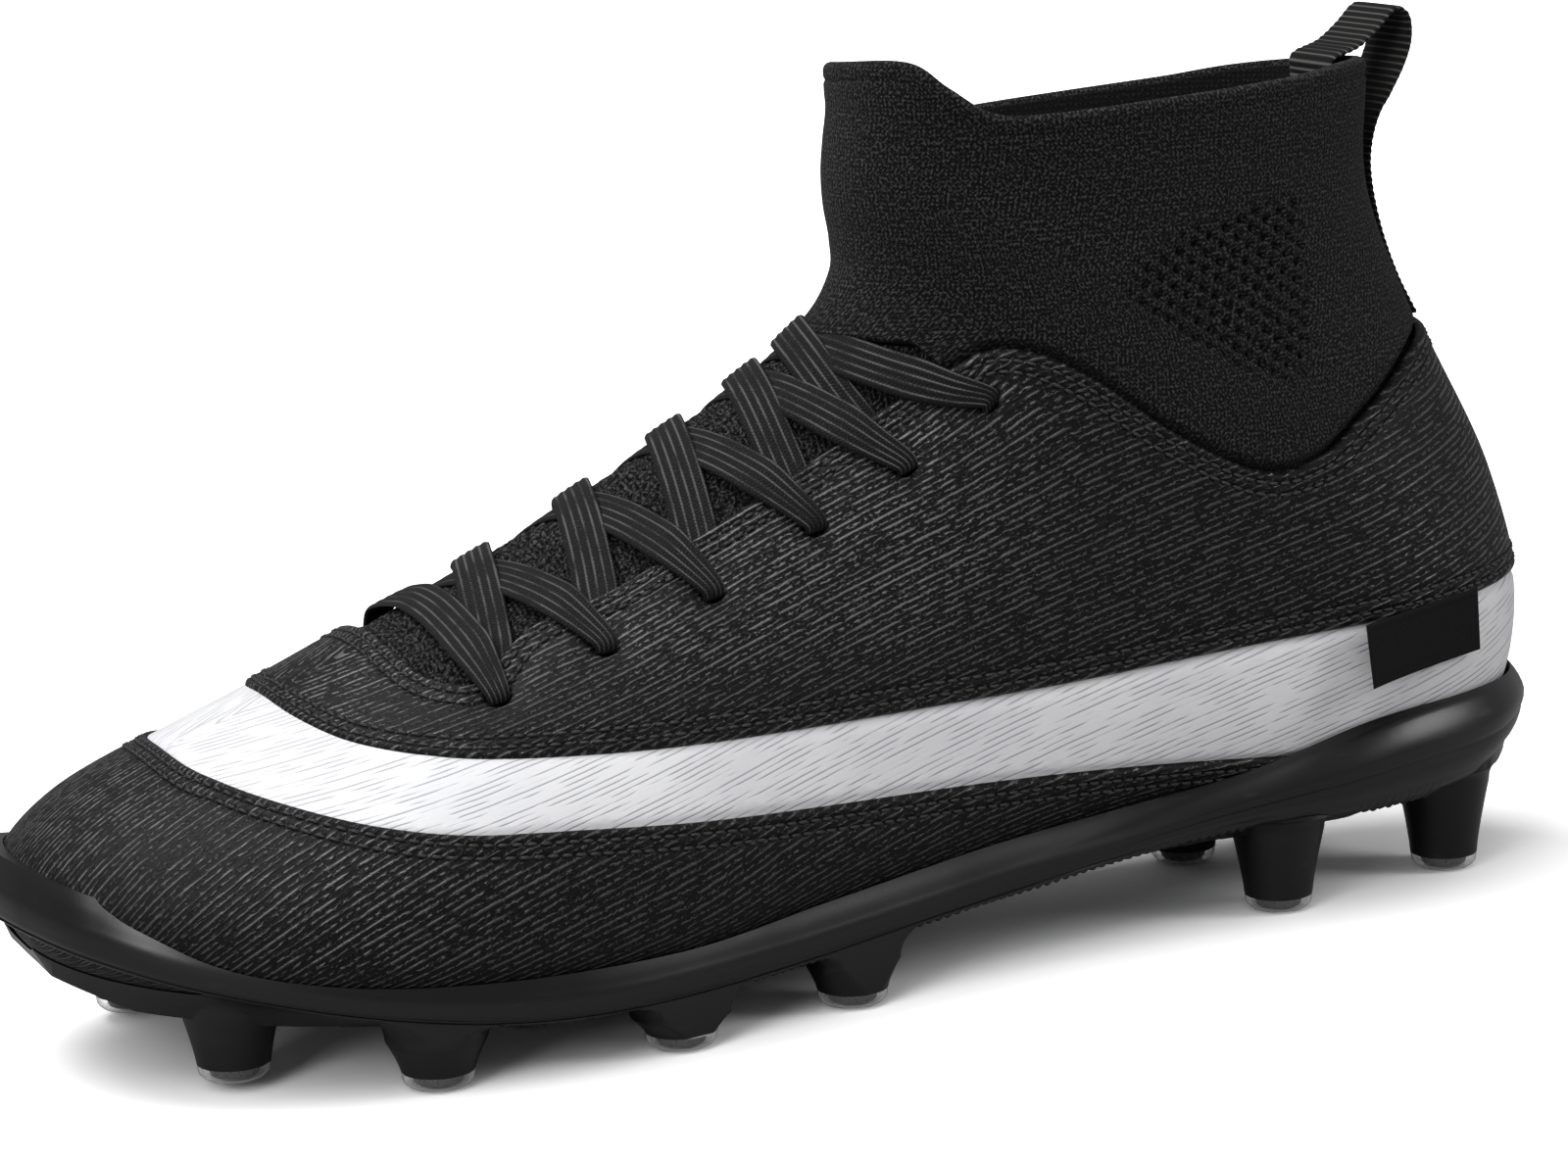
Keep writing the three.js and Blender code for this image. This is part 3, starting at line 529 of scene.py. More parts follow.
class Look:
    """A short way to write a node material."""

    def __init__(self, name):
        self.material = bpy.data.materials.new(name)
        self.material.use_nodes = True
        self.tree = self.material.node_tree
        self.tree.nodes.clear()
        self.output = self.tree.nodes.new("ShaderNodeOutputMaterial")
        self.shader = self.tree.nodes.new("ShaderNodeBsdfPrincipled")
        self.tree.links.new(self.shader.outputs[0], self.output.inputs[0])

    def put(self, socket, value):
        if isinstance(value, bpy.types.NodeSocket):
            self.tree.links.new(value, socket)
        elif isinstance(value, (tuple, list)):
            opaque = len(value) == 3 and len(socket.default_value) == 4
            socket.default_value = tuple(value) + ((1,) if opaque else ())
        else:
            socket.default_value = value

    def math(self, operation, *values):
        node = self.tree.nodes.new("ShaderNodeMath")
        node.operation = operation
        for socket, value in zip(node.inputs, values):
            self.put(socket, value)
        return node.outputs[0]

    def add(self, a, b):
        return self.math("ADD", a, b)

    def times(self, a, b):
        return self.math("MULTIPLY", a, b)

    def ramp(self, value, low, high, out_low=0.0, out_high=1.0):
        node = self.tree.nodes.new("ShaderNodeMapRange")
        node.interpolation_type = "SMOOTHSTEP"
        for socket, v in zip(node.inputs, (value, low, high, out_low, out_high)):
            self.put(socket, v)
        return node.outputs[0]

    def wave(self, coordinate, pitch):
        """A sine wave from 0 to 1 with its pitch in the coordinate's unit."""
        turn = self.times(coordinate, 2 * math.pi / pitch)
        return self.math("MULTIPLY_ADD", self.math("SINE", turn), 0.5, 0.5)

    def place(self):
        return self.tree.nodes.new("ShaderNodeTexCoord").outputs["Object"]

    def surface(self):
        """The surface coordinates of a mesh in millimetres, as (vector, u, v)."""
        uv = self.tree.nodes.new("ShaderNodeUVMap")
        uv.uv_map = "surface"
        split = self.tree.nodes.new("ShaderNodeSeparateXYZ")
        self.tree.links.new(uv.outputs[0], split.inputs[0])
        return uv.outputs[0], split.outputs[0], split.outputs[1]

    def noise(self, vector, size, detail=3.0, stretch=(1, 1, 1)):
        """Noise from 0 to 1 whose blobs are about size, in the vector's unit."""
        scaled = self.tree.nodes.new("ShaderNodeMapping")
        self.tree.links.new(vector, scaled.inputs[0])
        scaled.inputs["Scale"].default_value = tuple(s / size for s in stretch)
        node = self.tree.nodes.new("ShaderNodeTexNoise")
        node.inputs["Scale"].default_value = 1.0
        node.inputs["Detail"].default_value = detail
        self.tree.links.new(scaled.outputs[0], node.inputs["Vector"])
        return node.outputs[0]

    def mix(self, share, a, b):
        node = self.tree.nodes.new("ShaderNodeMix")
        node.data_type = "RGBA"
        for name, value in (("Factor", share), ("A", a), ("B", b)):
            sockets = [s for s in node.inputs if s.name == name and (name == "Factor" or s.type == "RGBA")]
            self.put(sockets[0], value)
        return [s for s in node.outputs if s.type == "RGBA"][0]

    def bump(self, height, depth_mm, strength=1.0):
        node = self.tree.nodes.new("ShaderNodeBump")
        node.inputs["Strength"].default_value = strength
        node.inputs["Distance"].default_value = depth_mm * MM
        self.put(node.inputs["Height"], height)
        self.tree.links.new(node.outputs[0], self.shader.inputs["Normal"])

    def set(self, **values):
        for key, value in values.items():
            self.put(self.shader.inputs[key.replace("_", " ")], value)
        return self.material


SIDE_RIB_TILT = 14.5
TOE_RIB_TILT = 3


BLACK_RIB_PITCH = 2.5
WHITE_DASH_PITCH = 1.15


def ribbed_black():
    """Black synthetic leather: thin broken ribs along u, strong and faint in turn, over a dotted ground, and
    a painted sheen beside the lace.
    """
    look = Look("black_synthetic")
    vector, _, v = look.surface()
    pitch = BLACK_RIB_PITCH
    phase = look.add(v, look.times(look.add(look.noise(vector, 7.0), -0.5), 0.6))
    strong = look.math("POWER", look.wave(phase, pitch), 7.0)
    faint = look.math("POWER", look.wave(look.add(phase, pitch / 2), pitch), 7.0)
    broken = look.ramp(look.noise(vector, 1.5, 2.0, (0.45, 1.5, 1)), 0.36, 0.56, 0.2, 1.0)
    beads = look.ramp(look.noise(vector, 0.8, 2.0, (0.7, 1.6, 1)), 0.42, 0.58, 0.0, 1.0)
    dots = look.ramp(look.noise(vector, 0.55, 2.0), 0.54, 0.68)
    lines = look.math("MAXIMUM", look.times(strong, broken), look.times(faint, beads))
    height = look.add(lines, look.times(dots, 0.45))
    look.bump(look.add(height, look.times(look.noise(vector, 0.35, 3.0), 0.3)), 0.2)
    place = look.tree.nodes.new("ShaderNodeSeparateXYZ")
    look.tree.links.new(look.place(), place.inputs[0])
    # Painted sheen: paler rib tops in patches high on the side and in front of the ankle, in metres of the
    # row frame.
    high, forward = look.ramp(place.outputs[2], 0.056, 0.074), look.ramp(place.outputs[0], 0.045, 0.0)
    sheen_zone = look.times(high, forward)
    wear_and_sheen = look.times(look.ramp(look.noise(vector, 16.0, 3.0), 0.3, 0.62, 0.35, 1.0), sheen_zone)
    tone = look.ramp(height, 0.15, 0.95)
    # The sheen is painted into the rib tops' colour.
    top = look.mix(wear_and_sheen, (0.014, 0.014, 0.015), (0.105, 0.105, 0.108))
    look.set(Base_Color=look.mix(tone, (0.0022, 0.0022, 0.0025), top),
             Roughness=look.ramp(tone, 0, 1, 0.5, 0.33), Specular_IOR_Level=look.ramp(tone, 0, 1, 0.14, 0.75))
    return look


def ribbed_white():
    """White synthetic leather with thin grey dashes pressed in along u."""
    look = Look("white_synthetic")
    vector, _, v = look.surface()
    phase = look.add(v, look.times(look.add(look.noise(vector, 9.0), -0.5), 0.4))
    line = look.math("POWER", look.wave(phase, WHITE_DASH_PITCH), 5.0)
    dashes = look.times(line, look.ramp(look.noise(vector, 2.6, 2.0, (0.3, 1.6, 1)), 0.4, 0.56))
    grain = look.noise(vector, 0.5, 3.0)
    look.bump(look.add(look.times(dashes, -1.0), look.times(grain, 0.25)), 0.09)
    patches = look.ramp(look.noise(vector, 26.0, 3.0), 0.35, 0.7)
    plain = look.mix(patches, (0.63, 0.63, 0.65), (0.69, 0.69, 0.70))
    look.set(Base_Color=look.mix(look.times(dashes, 0.85), plain, (0.33, 0.33, 0.36)), Roughness=0.5,
             Specular_IOR_Level=0.3)
    return look


def plain_look(name, colour, second, size_mm, rough, relief):
    """Mottled material in object coordinates, with grain of the given size."""
    look = Look(name)
    grain = look.noise(look.place(), size_mm * MM, 4.0)
    look.bump(grain, relief)
    patch = look.ramp(look.noise(look.place(), 22 * MM, 3.0), 0.35, 0.65)
    look.set(Base_Color=look.mix(patch, colour, second),
             Roughness=look.ramp(grain, 0.3, 0.7, rough, rough + 0.1))
    return look.material


def knit_look(name, colour, light, wale, course, relief, speckle=1.0):
    """Knitted cloth: wales and courses in surface coordinates, broken up by a heathered fleck."""
    look = Look(name)
    vector, u, v = look.surface()
    sway = look.times(look.add(look.noise(vector, 5.0), -0.5), 1.3)
    jitter = look.times(look.add(look.noise(vector, 1.1, 1.0), -0.5), 0.7)
    bent = look.add(u, look.add(sway, jitter))
    columns = look.wave(bent, wale)
    loops = look.wave(look.add(look.add(v, jitter), look.times(columns, 0.3)), course)
    fleck = look.ramp(look.noise(vector, 0.5, 3.0, (1, 0.8, 1)), 0.42, 0.66)
    fibre = look.noise(vector, 0.25, 2.0)
    knit = look.add(look.times(columns, 0.4), look.times(loops, 0.5))
    height = look.add(knit, look.times(fleck, 0.9 * speckle))
    look.bump(look.add(height, look.times(fibre, 0.4)), relief)
    tone = look.ramp(look.add(look.times(height, 0.7), look.times(fibre, 0.35)), 0.55, 1.25)
    look.set(Base_Color=look.mix(tone, colour, light), Roughness=0.95, Sheen_Weight=0.03,
             Sheen_Roughness=0.5, Specular_IOR_Level=0.12)
    return look


black_leather = ribbed_black()
white_leather = ribbed_white()
collar_knit = knit_look("fine_knit", (0.0015, 0.0015, 0.0018), (0.040, 0.040, 0.042), 0.9, 0.75, 0.14)
mesh_knit = knit_look("open_knit", (0.0012, 0.0012, 0.0014), (0.055, 0.055, 0.057), 1.0, 0.9, 0.2)
lining_cloth = knit_look("lining_cloth", (0.004, 0.004, 0.0045), (0.02, 0.02, 0.021), 1.1, 1.0, 0.08, 0.6)
sockliner_cloth = knit_look("sockliner_cloth", (0.010, 0.010, 0.011), (0.035, 0.035, 0.037), 1.3, 1.2, 0.1)


def thread_look():
    look = Look("stitch_thread")
    _, u, v = look.surface()
    twist = look.wave(look.add(u, look.times(v, 1.3)), 0.55)
    look.bump(twist, 0.06)
    look.set(Base_Color=look.mix(twist, (0.004, 0.004, 0.0042), (0.020, 0.018, 0.017)), Roughness=0.6)
    return look


def lace_look():
    """Flat braid: chevron picks between lengthwise ribs; u runs across and v along, in millimetres."""
    look = Look("lace_weave")
    vector, u, v = look.surface()
    picks = look.wave(look.add(v, look.times(look.wave(u, 1.56), 0.5)), 0.7)
    fibre = look.noise(vector, 0.35, 3.0)
    line = look.math("POWER", look.wave(u, 1.56), 6.0)
    flecks = look.ramp(look.noise(vector, 0.45, 2.0), 0.52, 0.7)
    look.bump(look.add(look.times(picks, 0.8), look.times(fibre, 0.6)), 0.1)
    wear_and_sheen = look.ramp(look.noise(vector, 3.0, 2.0, (1, 0.3, 1)), 0.35, 0.6, 0.3, 1.0)
    light = look.add(look.times(line, wear_and_sheen), look.add(look.times(flecks, 0.3), look.times(picks, 0.12)))
    look.set(Base_Color=look.mix(look.ramp(light, 0.1, 1.1), (0.0022, 0.0022, 0.0025), (0.075, 0.075, 0.077)),
             Roughness=0.8, Sheen_Weight=0.02, Specular_IOR_Level=0.2)
    return look


def webbing_look():
    look = Look("ribbed_webbing")
    vector, u, v = look.surface()
    picks = look.wave(look.add(u, look.times(look.wave(v, 1.4), 0.2)), 0.62)
    fibre = look.noise(vector, 0.4, 3.0)
    height = look.add(look.times(picks, 0.7), look.times(fibre, 0.5))
    look.bump(height, 0.09)
    ribs = look.math("POWER", look.wave(v, 1.35), 3.0)
    tone = look.ramp(look.add(look.times(height, 0.35), look.times(ribs, 0.8)), 0.25, 1.15)
    look.set(Base_Color=look.mix(tone, (0.0012, 0.0012, 0.0014), (0.085, 0.085, 0.080)), Roughness=0.85,
             Sheen_Weight=0.02, Specular_IOR_Level=0.2)
    return look


def moulded_look():
    look = Look("moulded_plate")
    fine = look.noise(look.place(), 0.5 * MM, 4.0)
    broad = look.noise(look.place(), 30 * MM, 3.0)
    scuff = look.ramp(look.noise(look.place(), 3.5 * MM, 6.0, (0.25, 1, 1.6)), 0.62, 0.72)
    look.bump(look.add(look.times(fine, 0.3), look.times(broad, 2.0)), 0.035)
    look.set(Base_Color=look.mix(look.times(scuff, 0.35), (0.004, 0.004, 0.0045), (0.012, 0.012, 0.013)),
             Roughness=look.add(look.ramp(broad, 0.3, 0.7, 0.27, 0.36), look.times(scuff, 0.08)),
             Specular_IOR_Level=0.4)
    return look


def clear_look(name, tint, alpha):
    look = Look(name)
    swirl = look.noise(look.place(), 4 * MM, 3.0)
    facing = look.tree.nodes.new("ShaderNodeLayerWeight")
    facing.inputs["Blend"].default_value = 0.35
    edge = facing.outputs["Facing"]
    look.bump(swirl, 0.15)
    # Near-white colour that turns opaque at grazing angles: a painted reflection on the tips' rims.
    look.set(Base_Color=look.mix(swirl, tint, (0.98, 0.98, 0.97)), Roughness=0.07,
             Alpha=look.ramp(edge, 0.2, 0.8, alpha, 0.9), Coat_Weight=1.0, Coat_Roughness=0.03,
             Specular_IOR_Level=0.9)
    return look


def label_look():
    look = Look("label_cloth")
    vector, u, v = look.surface()
    weave = look.add(look.wave(u, 0.5), look.wave(v, 0.42))
    look.bump(look.add(weave, look.noise(vector, 0.8)), 0.05)
    tone = look.ramp(weave, 0.4, 1.8)
    look.set(Base_Color=look.mix(tone, (0.002, 0.002, 0.0022), (0.008, 0.008, 0.0085)), Roughness=0.9,
             Specular_IOR_Level=0.15)
    return look


thread = thread_look().material
braid = lace_look().material
webbing = webbing_look().material
moulded = moulded_look().material
clear = clear_look("clear_tip", (0.80, 0.80, 0.79), 0.08).material
tip_core = plain_look("tip_core", (0.02, 0.02, 0.02), (0.05, 0.05, 0.05), 0.8, 0.25, 0.03)
board_fibre = plain_look("insole_board", (0.36, 0.29, 0.20), (0.44, 0.36, 0.25), 0.6, 0.85, 0.12)
stiff_sheet = plain_look("stiffener", (0.62, 0.62, 0.60), (0.72, 0.72, 0.70), 0.7, 0.6, 0.05)
open_foam = plain_look("foam", (0.045, 0.045, 0.047), (0.07, 0.07, 0.072), 0.9, 0.9, 0.3)
lace_film = plain_look("lace_tip", (0.008, 0.008, 0.008), (0.015, 0.015, 0.015), 1.5, 0.25, 0.02)
label_cloth = label_look().material


# ------------------------------------------------------------------ panels of the upper

# Offsets from the form: [inner face, outer face].
LINING = (-4.5, -3.6)
THROAT = (-3.3, -2.7)
SOCK = (-3.0, 0.0)
BOARD = (-3.0, -1.2)
STIFFENER = (-3.0, -1.6)
FOAM = (-3.0, -1.0)
BAND = (-0.9, -0.2)
PANEL = (-0.6, 0.9)
SOCKLINER = (-7.6, -4.8)

EDGE_RADIUS = 1.0
EDGE_LEVELS = [0.0, 0.1, 0.3, 0.6, 1.0]
ROWS = (2.0, 4.1)
ROW_HALF = 0.5
ROW_LEVELS = sorted(r + k * ROW_HALF for r in ROWS for k in (-1, -0.45, 0, 0.45, 1))
EYELETS = [(5.2, 34.5), (6.02, 35.0), (6.87, 35.5), (7.72, 34.5), (8.63, 34.8), (9.85, 38.0)]
INNER_EYELETS = 0.93
HOLE_RADIUS = 1.9
STITCH_SINK = 0.08


def eyelet(row, side):
    """Station and signed distance from the ridge of an eyelet."""
    t, r = EYELETS[row]
    return t, side * r * (1 if side < 0 else INNER_EYELETS)


def girth(t, r):
    return np.asarray(r) / half_length(t, r)


def rolled(d, top, low):
    """Height of a turned edge: rounded down to low at the outline, with grooves under the stitches."""
    share = np.clip(d / EDGE_RADIUS, 0, 1)
    height = low + (top - low) * np.sqrt(np.maximum(1 - (1 - share)**2, 0))
    fold = 0.16 * np.exp(-((d - 1.0) / 0.8)**2) + 0.12 * np.exp(-((d - 3.05) / 0.7)**2)
    groove = sum(0.34 * np.exp(-((d - r) / 0.42)**2) for r in ROWS)
    return height + fold * share - groove


def tilted(uv, angle):
    """Surface coordinates whose first axis rises towards the heel by the angle in degrees."""
    c, s = math.cos(math.radians(angle)), math.sin(math.radians(angle))
    return uv @ np.array([[c, -s], [s, c]])


def side_uv(sheet):
    """Surface coordinates from the side view, spread out where the instep turns inwards."""
    p = sheet.points()
    rows = form_rows(sheet.t)
    half_width = np.where(sheet.g < 0, rows[:, 4], rows[:, 5])
    inward = half_width - np.abs(p[:, 1] - rows[:, 6])
    share = (1 - ease(sheet.t, 8.5, 11)) * (1 - ease(np.abs(sheet.g), 0.55, 0.75))
    return tilted(np.stack([p[:, 0], p[:, 2] + 0.7 * share * inward], 1), SIDE_RIB_TILT)


def wrapped_uv(sheet):
    """Surface coordinates that run over the toe from the outer to the inner side."""
    length = half_length(sheet.t, sheet.g)
    at_instep = half_length(np.minimum(sheet.t, 6.0), sheet.g)
    below_ridge = at_instep - (1 - np.abs(sheet.g)) * length
    return tilted(np.stack([sheet.points()[:, 0], np.sign(sheet.g) * below_ridge], 1), TOE_RIB_TILT)


def ring_uv(sheet):
    return np.stack([sheet.g * half_length(np.clip(sheet.t, 13, 15), sheet.g), sheet.points()[:, 2]], 1)


def trim(sheet, name, polygon, line, levels, plane=(0, 2), fall=0.0):
    """Cuts a sheet to a polygon; line is the outline that the levels follow."""
    points, normals = sheet.points(), sheet.normals()
    points[:, 2] += fall * points[:, 1]
    within = inside(polygon, points[:, plane[0]], points[:, plane[1]])
    if plane == (0, 1):
        within &= normals[:, 2] < -0.2
    lines = line if isinstance(line, list) else [line]
    distance = np.min([line_distance(np.asarray(l, float), points, normals, plane) for l in lines], 0)
    sheet.add(name, np.where(within, distance, -distance))
    sheet.split(name, levels)
    sheet.keep(name)


STITCH_LENGTH = 1.9
STITCH_GAP = 0.55
STITCH_RADIUS = 0.31
STITCH_SIDES = 8
STITCH_STEP = 0.25
# Along a stitch: place from end to end, share of its radius, depth.
STITCH_PROFILE = np.array([
    [-1, 0.1, 0.45], [-0.86, 0.62, 0.16], [-0.55, 0.95, -0.05], [0, 1, -0.12], [0.55, 0.95, -0.05],
    [0.86, 0.62, 0.16], [1, 0.1, 0.45]])


def stitch_row(sheet, name, level, height):
    """Threads along a level line: short bowed stitches that dip into the panel at both ends."""
    points, faces, uvs = [], [], []
    count = 0
    sides, beads, radius = STITCH_SIDES, STITCH_PROFILE, STITCH_RADIUS
    angle = np.arange(sides) * 2 * math.pi / sides
    quads = ring_quads(len(beads), sides)
    for chain in sheet.level_lines(name, level):
        t, g = sheet.t[chain], sheet.g[chain]
        base = form_at(t, g, height)
        normal = normal_at(t, g)
        line, up = resampled(base, STITCH_STEP, normal)
        run = np.arange(len(line)) * STITCH_STEP
        pitch = STITCH_LENGTH + STITCH_GAP
        for k in range(int(run[-1] // pitch)):
            along_stitch = (k + 0.5) * pitch + beads[:, 0] * STITCH_LENGTH / 2
            centre = np.stack([np.interp(along_stitch, run, line[:, a]) for a in range(3)], 1)
            rise = np.stack([np.interp(along_stitch, run, up[:, a]) for a in range(3)], 1)
            centre = centre - rise * beads[:, 2:3]
            way = np.gradient(centre, axis=0)
            way /= np.linalg.norm(way, axis=1, keepdims=True)
            cross = np.cross(rise, way)
            cross /= np.linalg.norm(cross, axis=1, keepdims=True)
            top = np.cross(way, cross)
            thick = radius * beads[:, 1][:, None, None]
            ring = (centre[:, None] + thick * (cross[:, None] * np.cos(angle)[None, :, None] * 1.1
                                               + top[:, None] * np.sin(angle)[None, :, None]))
            points.append(ring.reshape(-1, 3))
            uvs.append(np.stack([np.repeat(along_stitch, sides), np.tile(angle * radius, len(beads))], 1))
            faces += (quads + count).tolist()
            last = count + (len(beads) - 1) * sides
            faces += [list(range(count, count + sides))[::-1], list(range(last, last + sides))]
            count = last + sides
    return points, faces, uvs, count


def stitching(name, rows):
    """One object with all the stitch rows given as (sheet, field, level, height)."""
    points, faces, uvs, total = [], [], [], 0
    for row in rows:
        p, f, u, n = stitch_row(*row)
        points += p
        uvs += u
        faces += [[v + total for v in face] for face in f]
        total += n
    thing = make_mesh(name, np.vstack(points), faces, np.vstack(uvs), [thread])
    return finish_piece(thing)


def toe_panel():
    sheet = Sheet((0, 11.2), (-0.8, 0.8), 1.25)
    area = np.vstack([TOE_PANEL_EDGE[:-1], [[122, 28], [122, LOW], [-FAR, LOW], [-FAR, OVER_RIDGE]]])
    trim(sheet, "edge", area, TOE_PANEL_EDGE, EDGE_LEVELS + ROW_LEVELS)
    d = sheet.fields["edge"]
    points, faces = sheet.shell(rolled(d, PANEL[1], PANEL[0] + 0.2), PANEL[0])
    uv = wrapped_uv(sheet)
    thing = make_mesh("vamp_panel", points, faces, np.vstack([uv, uv]), [black_leather.material])
    finish_piece(thing, nodes=["toe_panel"])
    stitching("vamp_stitching", [(sheet, "edge", r, PANEL[1] - STITCH_SINK) for r in ROWS])


def side_band():
    sheet = Sheet((2, 14), (-1, 1), 1.5)
    area = np.vstack([shifted(TOE_PANEL_EDGE, -OVERLAP, -OVERLAP), [[FAR, 21], [FAR, 60]],
                      shifted(QUARTER_EDGE, OVERLAP, OVERLAP)[::-1]])
    trim(sheet, "edge", area, [shifted(TOE_PANEL_EDGE, -OVERLAP, -OVERLAP),
                               shifted(QUARTER_EDGE, OVERLAP, OVERLAP)], [0.0, 4.4, 5.2, 6.0])
    hidden = OVERLAP + 0.4
    rise = ease(sheet.fields["edge"], hidden, hidden + 1.6)
    points, faces = sheet.shell(BAND[1] - 0.1 + 0.65 * rise, BAND[0])
    uv = side_uv(sheet)
    thing = make_mesh("side_band_panel", points, faces, np.vstack([uv, uv]), [white_leather.material])
    finish_piece(thing, nodes=["side_band"])


def quarter():
    sheet = Sheet((3, 15), (-1, 1), 1.2)
    area = np.vstack([QUARTER_EDGE, [[FAR, 56], [FAR, 108]], QUARTER_TOP[::-1]])
    trim(sheet, "edge", area, [QUARTER_EDGE, QUARTER_TOP], EDGE_LEVELS + ROW_LEVELS)
    rows = [(sheet, "edge", r, PANEL[1] - STITCH_SINK) for r in ROWS]
    stitching("quarter_stitching", rows)
    points = sheet.points()
    gap = np.full(len(points), 1e9)
    for side in (-1, 1):
        for row in range(len(EYELETS)):
            t, r = eyelet(row, side)
            centre = form_at([t], girth([t], [r + side * 0.7]))[0]
            gap = np.minimum(gap, np.linalg.norm(points - centre, axis=1))
    sheet.add("hole", gap - HOLE_RADIUS)
    sheet.split("hole", [0.0, 0.15, 0.5, 1.1])
    sheet.keep("hole")
    d, hole = sheet.fields["edge"], sheet.fields["hole"]
    top = rolled(d, PANEL[1], PANEL[0] + 0.2)
    punched = np.sqrt(np.maximum(1 - (1 - np.clip(hole / 0.9, 0, 1))**2, 0))
    top = PANEL[0] + 0.25 + (top - PANEL[0] - 0.25) * punched
    top -= 0.45 * np.exp(-(hole / 3.2)**2)
    top = np.maximum(top, PANEL[0] + 0.12)
    points, faces = sheet.shell(top, PANEL[0])
    uv = side_uv(sheet)
    thing = make_mesh("quarter_leather", points, faces, np.vstack([uv, uv]), [black_leather.material])
    finish_piece(thing, nodes=["quarter_panel"])


THROAT_WALE = 3.6
THROAT_COURSE = 3.0


def throat():
    """Coarse openwork knit between the eyestays: ridges of thick yarn around slanted holes."""
    sheet = Sheet((4, 10.6), (-0.45, 0.45), 0.62)
    area = np.vstack([[[-86, HIGH], [-86, 56]], shifted(THROAT_EDGE[1:], 0, -11),
                      [[24.6, 97], [24.6, 111.4], [20, 112.2], [-0.4, 114.6], [-0.4, HIGH]]])
    trim(sheet, "edge", area, np.vstack([area, area[:1]]), [0.0])
    p = sheet.points()
    r = sheet.g * half_length(sheet.t, sheet.g)
    across, up = 2 * math.pi * r / THROAT_WALE, 2 * math.pi * p[:, 0] / THROAT_COURSE
    holes = np.cos(across) * np.cos(up)
    relief = 0.85 * np.clip(holes + 0.3, -0.6, 0.5) + 0.2 * np.cos(2 * across + up * 0.5)
    bulge = 0.8 * ease(22 - np.abs(r), 0, 10)
    points, faces = sheet.shell(THROAT[1] + 0.3 + relief + bulge, THROAT[0])
    uv = np.stack([r, p[:, 0]], 1)
    thing = make_mesh("throat_mesh_knit", points, faces, np.vstack([uv, uv]), [mesh_knit.material])
    finish_piece(thing, nodes=["throat_knit"])


PATCH = np.array([[54, 117], [57, 125], [69, 131], [84, 134], [94, 135], [95, 120], [94, 103], [88, 98],
                  [76, 103], [64, 110]], float)
PATCH_SLANT = 20
PATCH_ROW = 2.5
PATCH_HOLE_PITCH = 3.4
PATCH_DEPTH = 1.1
RIB_PITCH = 1.8
# Height of the collar's outer face where it lies under the quarter.
UNDER_QUARTER = -2.35


def collar():
    """Knitted sock collar with an openwork patch on both sides and a folded rim."""
    sheet = Sheet((8.0, 17), (-1, 1), 0.85)
    polygon = np.vstack([[[0, HIGH], [0, 115], [20, 112.6], [32, 99]], shifted(TOPLINE[8:], 0, -9),
                         [[FAR, 99], [FAR, HIGH]]])
    lower = polygon[1:-1]
    trim(sheet, "lower", polygon, lower, [0.0])
    trim(sheet, "rim", UNDER_RIM, RIM, [0.0, 0.2, 0.6, 1.1, 1.7, 2.6, 3.2, 3.8], fall=RIM_FALL)
    points, normals = sheet.points(), sheet.normals()
    quarter_side = np.vstack([QUARTER_TOP, [[FAR, 108], [FAR, LOW], [-75.5, LOW]]])
    above = ~inside(quarter_side, points[:, 0], points[:, 2])
    gap = line_distance(QUARTER_TOP, points, normals)
    out_of_quarter = np.where(above, gap, -gap)
    tucked = np.clip((out_of_quarter + 0.2) / 2.2, 0, 1)
    tucked = tucked * tucked * (3 - 2 * tucked)
    rim = sheet.fields["rim"]
    half = (SOCK[1] - SOCK[0]) / 2
    fold = np.sqrt(np.maximum(1 - (1 - np.clip(rim / half, 0, 1))**2, 0))
    outer = SOCK[0] + half + half * fold
    outer = outer - 0.3 * np.exp(-((rim - 3.2) / 0.35)**2)
    outer = UNDER_QUARTER + (outer - UNDER_QUARTER) * tucked
    # Openwork: slanted holes in diagonal rows.
    within = np.where(inside(PATCH, points[:, 0], points[:, 2]),
                      line_distance(np.vstack([PATCH, PATCH[:1]]), points, normals), 0)
    fade = np.clip(within / 3, 0, 1)
    slant = math.radians(PATCH_SLANT)
    u = points[:, 0] * math.cos(slant) + points[:, 2] * math.sin(slant)
    v = points[:, 2] * math.cos(slant) - points[:, 0] * math.sin(slant)
    row = v / PATCH_ROW
    stagger = np.floor(row + 0.5) * 0.5
    along = 2 * math.pi * (u / PATCH_HOLE_PITCH + stagger)
    pit = np.clip(np.cos(2 * math.pi * row) * 0.5 + np.cos(along), 0, 1.4)
    outer = outer - PATCH_DEPTH * fade * pit
    girth_at_ankle = sheet.g * half_length(np.full(len(points), 14.0), sheet.g)
    knit_ribs = 0.05 * np.cos(2 * math.pi * girth_at_ankle / RIB_PITCH)
    outer = outer + knit_ribs * tucked
    inner = SOCK[0] + half - half * fold
    points, faces = sheet.shell(np.maximum(outer, inner + 0.1), inner)
    uv = ring_uv(sheet)
    thing = make_mesh("collar_knit", points, faces, np.vstack([uv, uv]), [collar_knit.material])
    finish_piece(thing, nodes=["sock_collar"])


def lining():
    sheet = Sheet((0, 17), (-1, 1), 2.0)
    trim(sheet, "rim", shifted(UNDER_RIM, 0, -1), shifted(RIM, 0, -1), [0.0, 0.4, 1.0], fall=RIM_FALL)
    fold = np.clip(sheet.fields["rim"] / 0.8, 0, 1)
    outer = LINING[0] + (LINING[1] - LINING[0]) * (0.5 + 0.5 * fold)
    points, faces = sheet.shell(outer, LINING[0])
    uv = ring_uv(sheet)
    thing = make_mesh("lining_bootie", points, faces, np.vstack([uv, uv]), [lining_cloth.material])
    finish_piece(thing, nodes=["bootie_lining"])


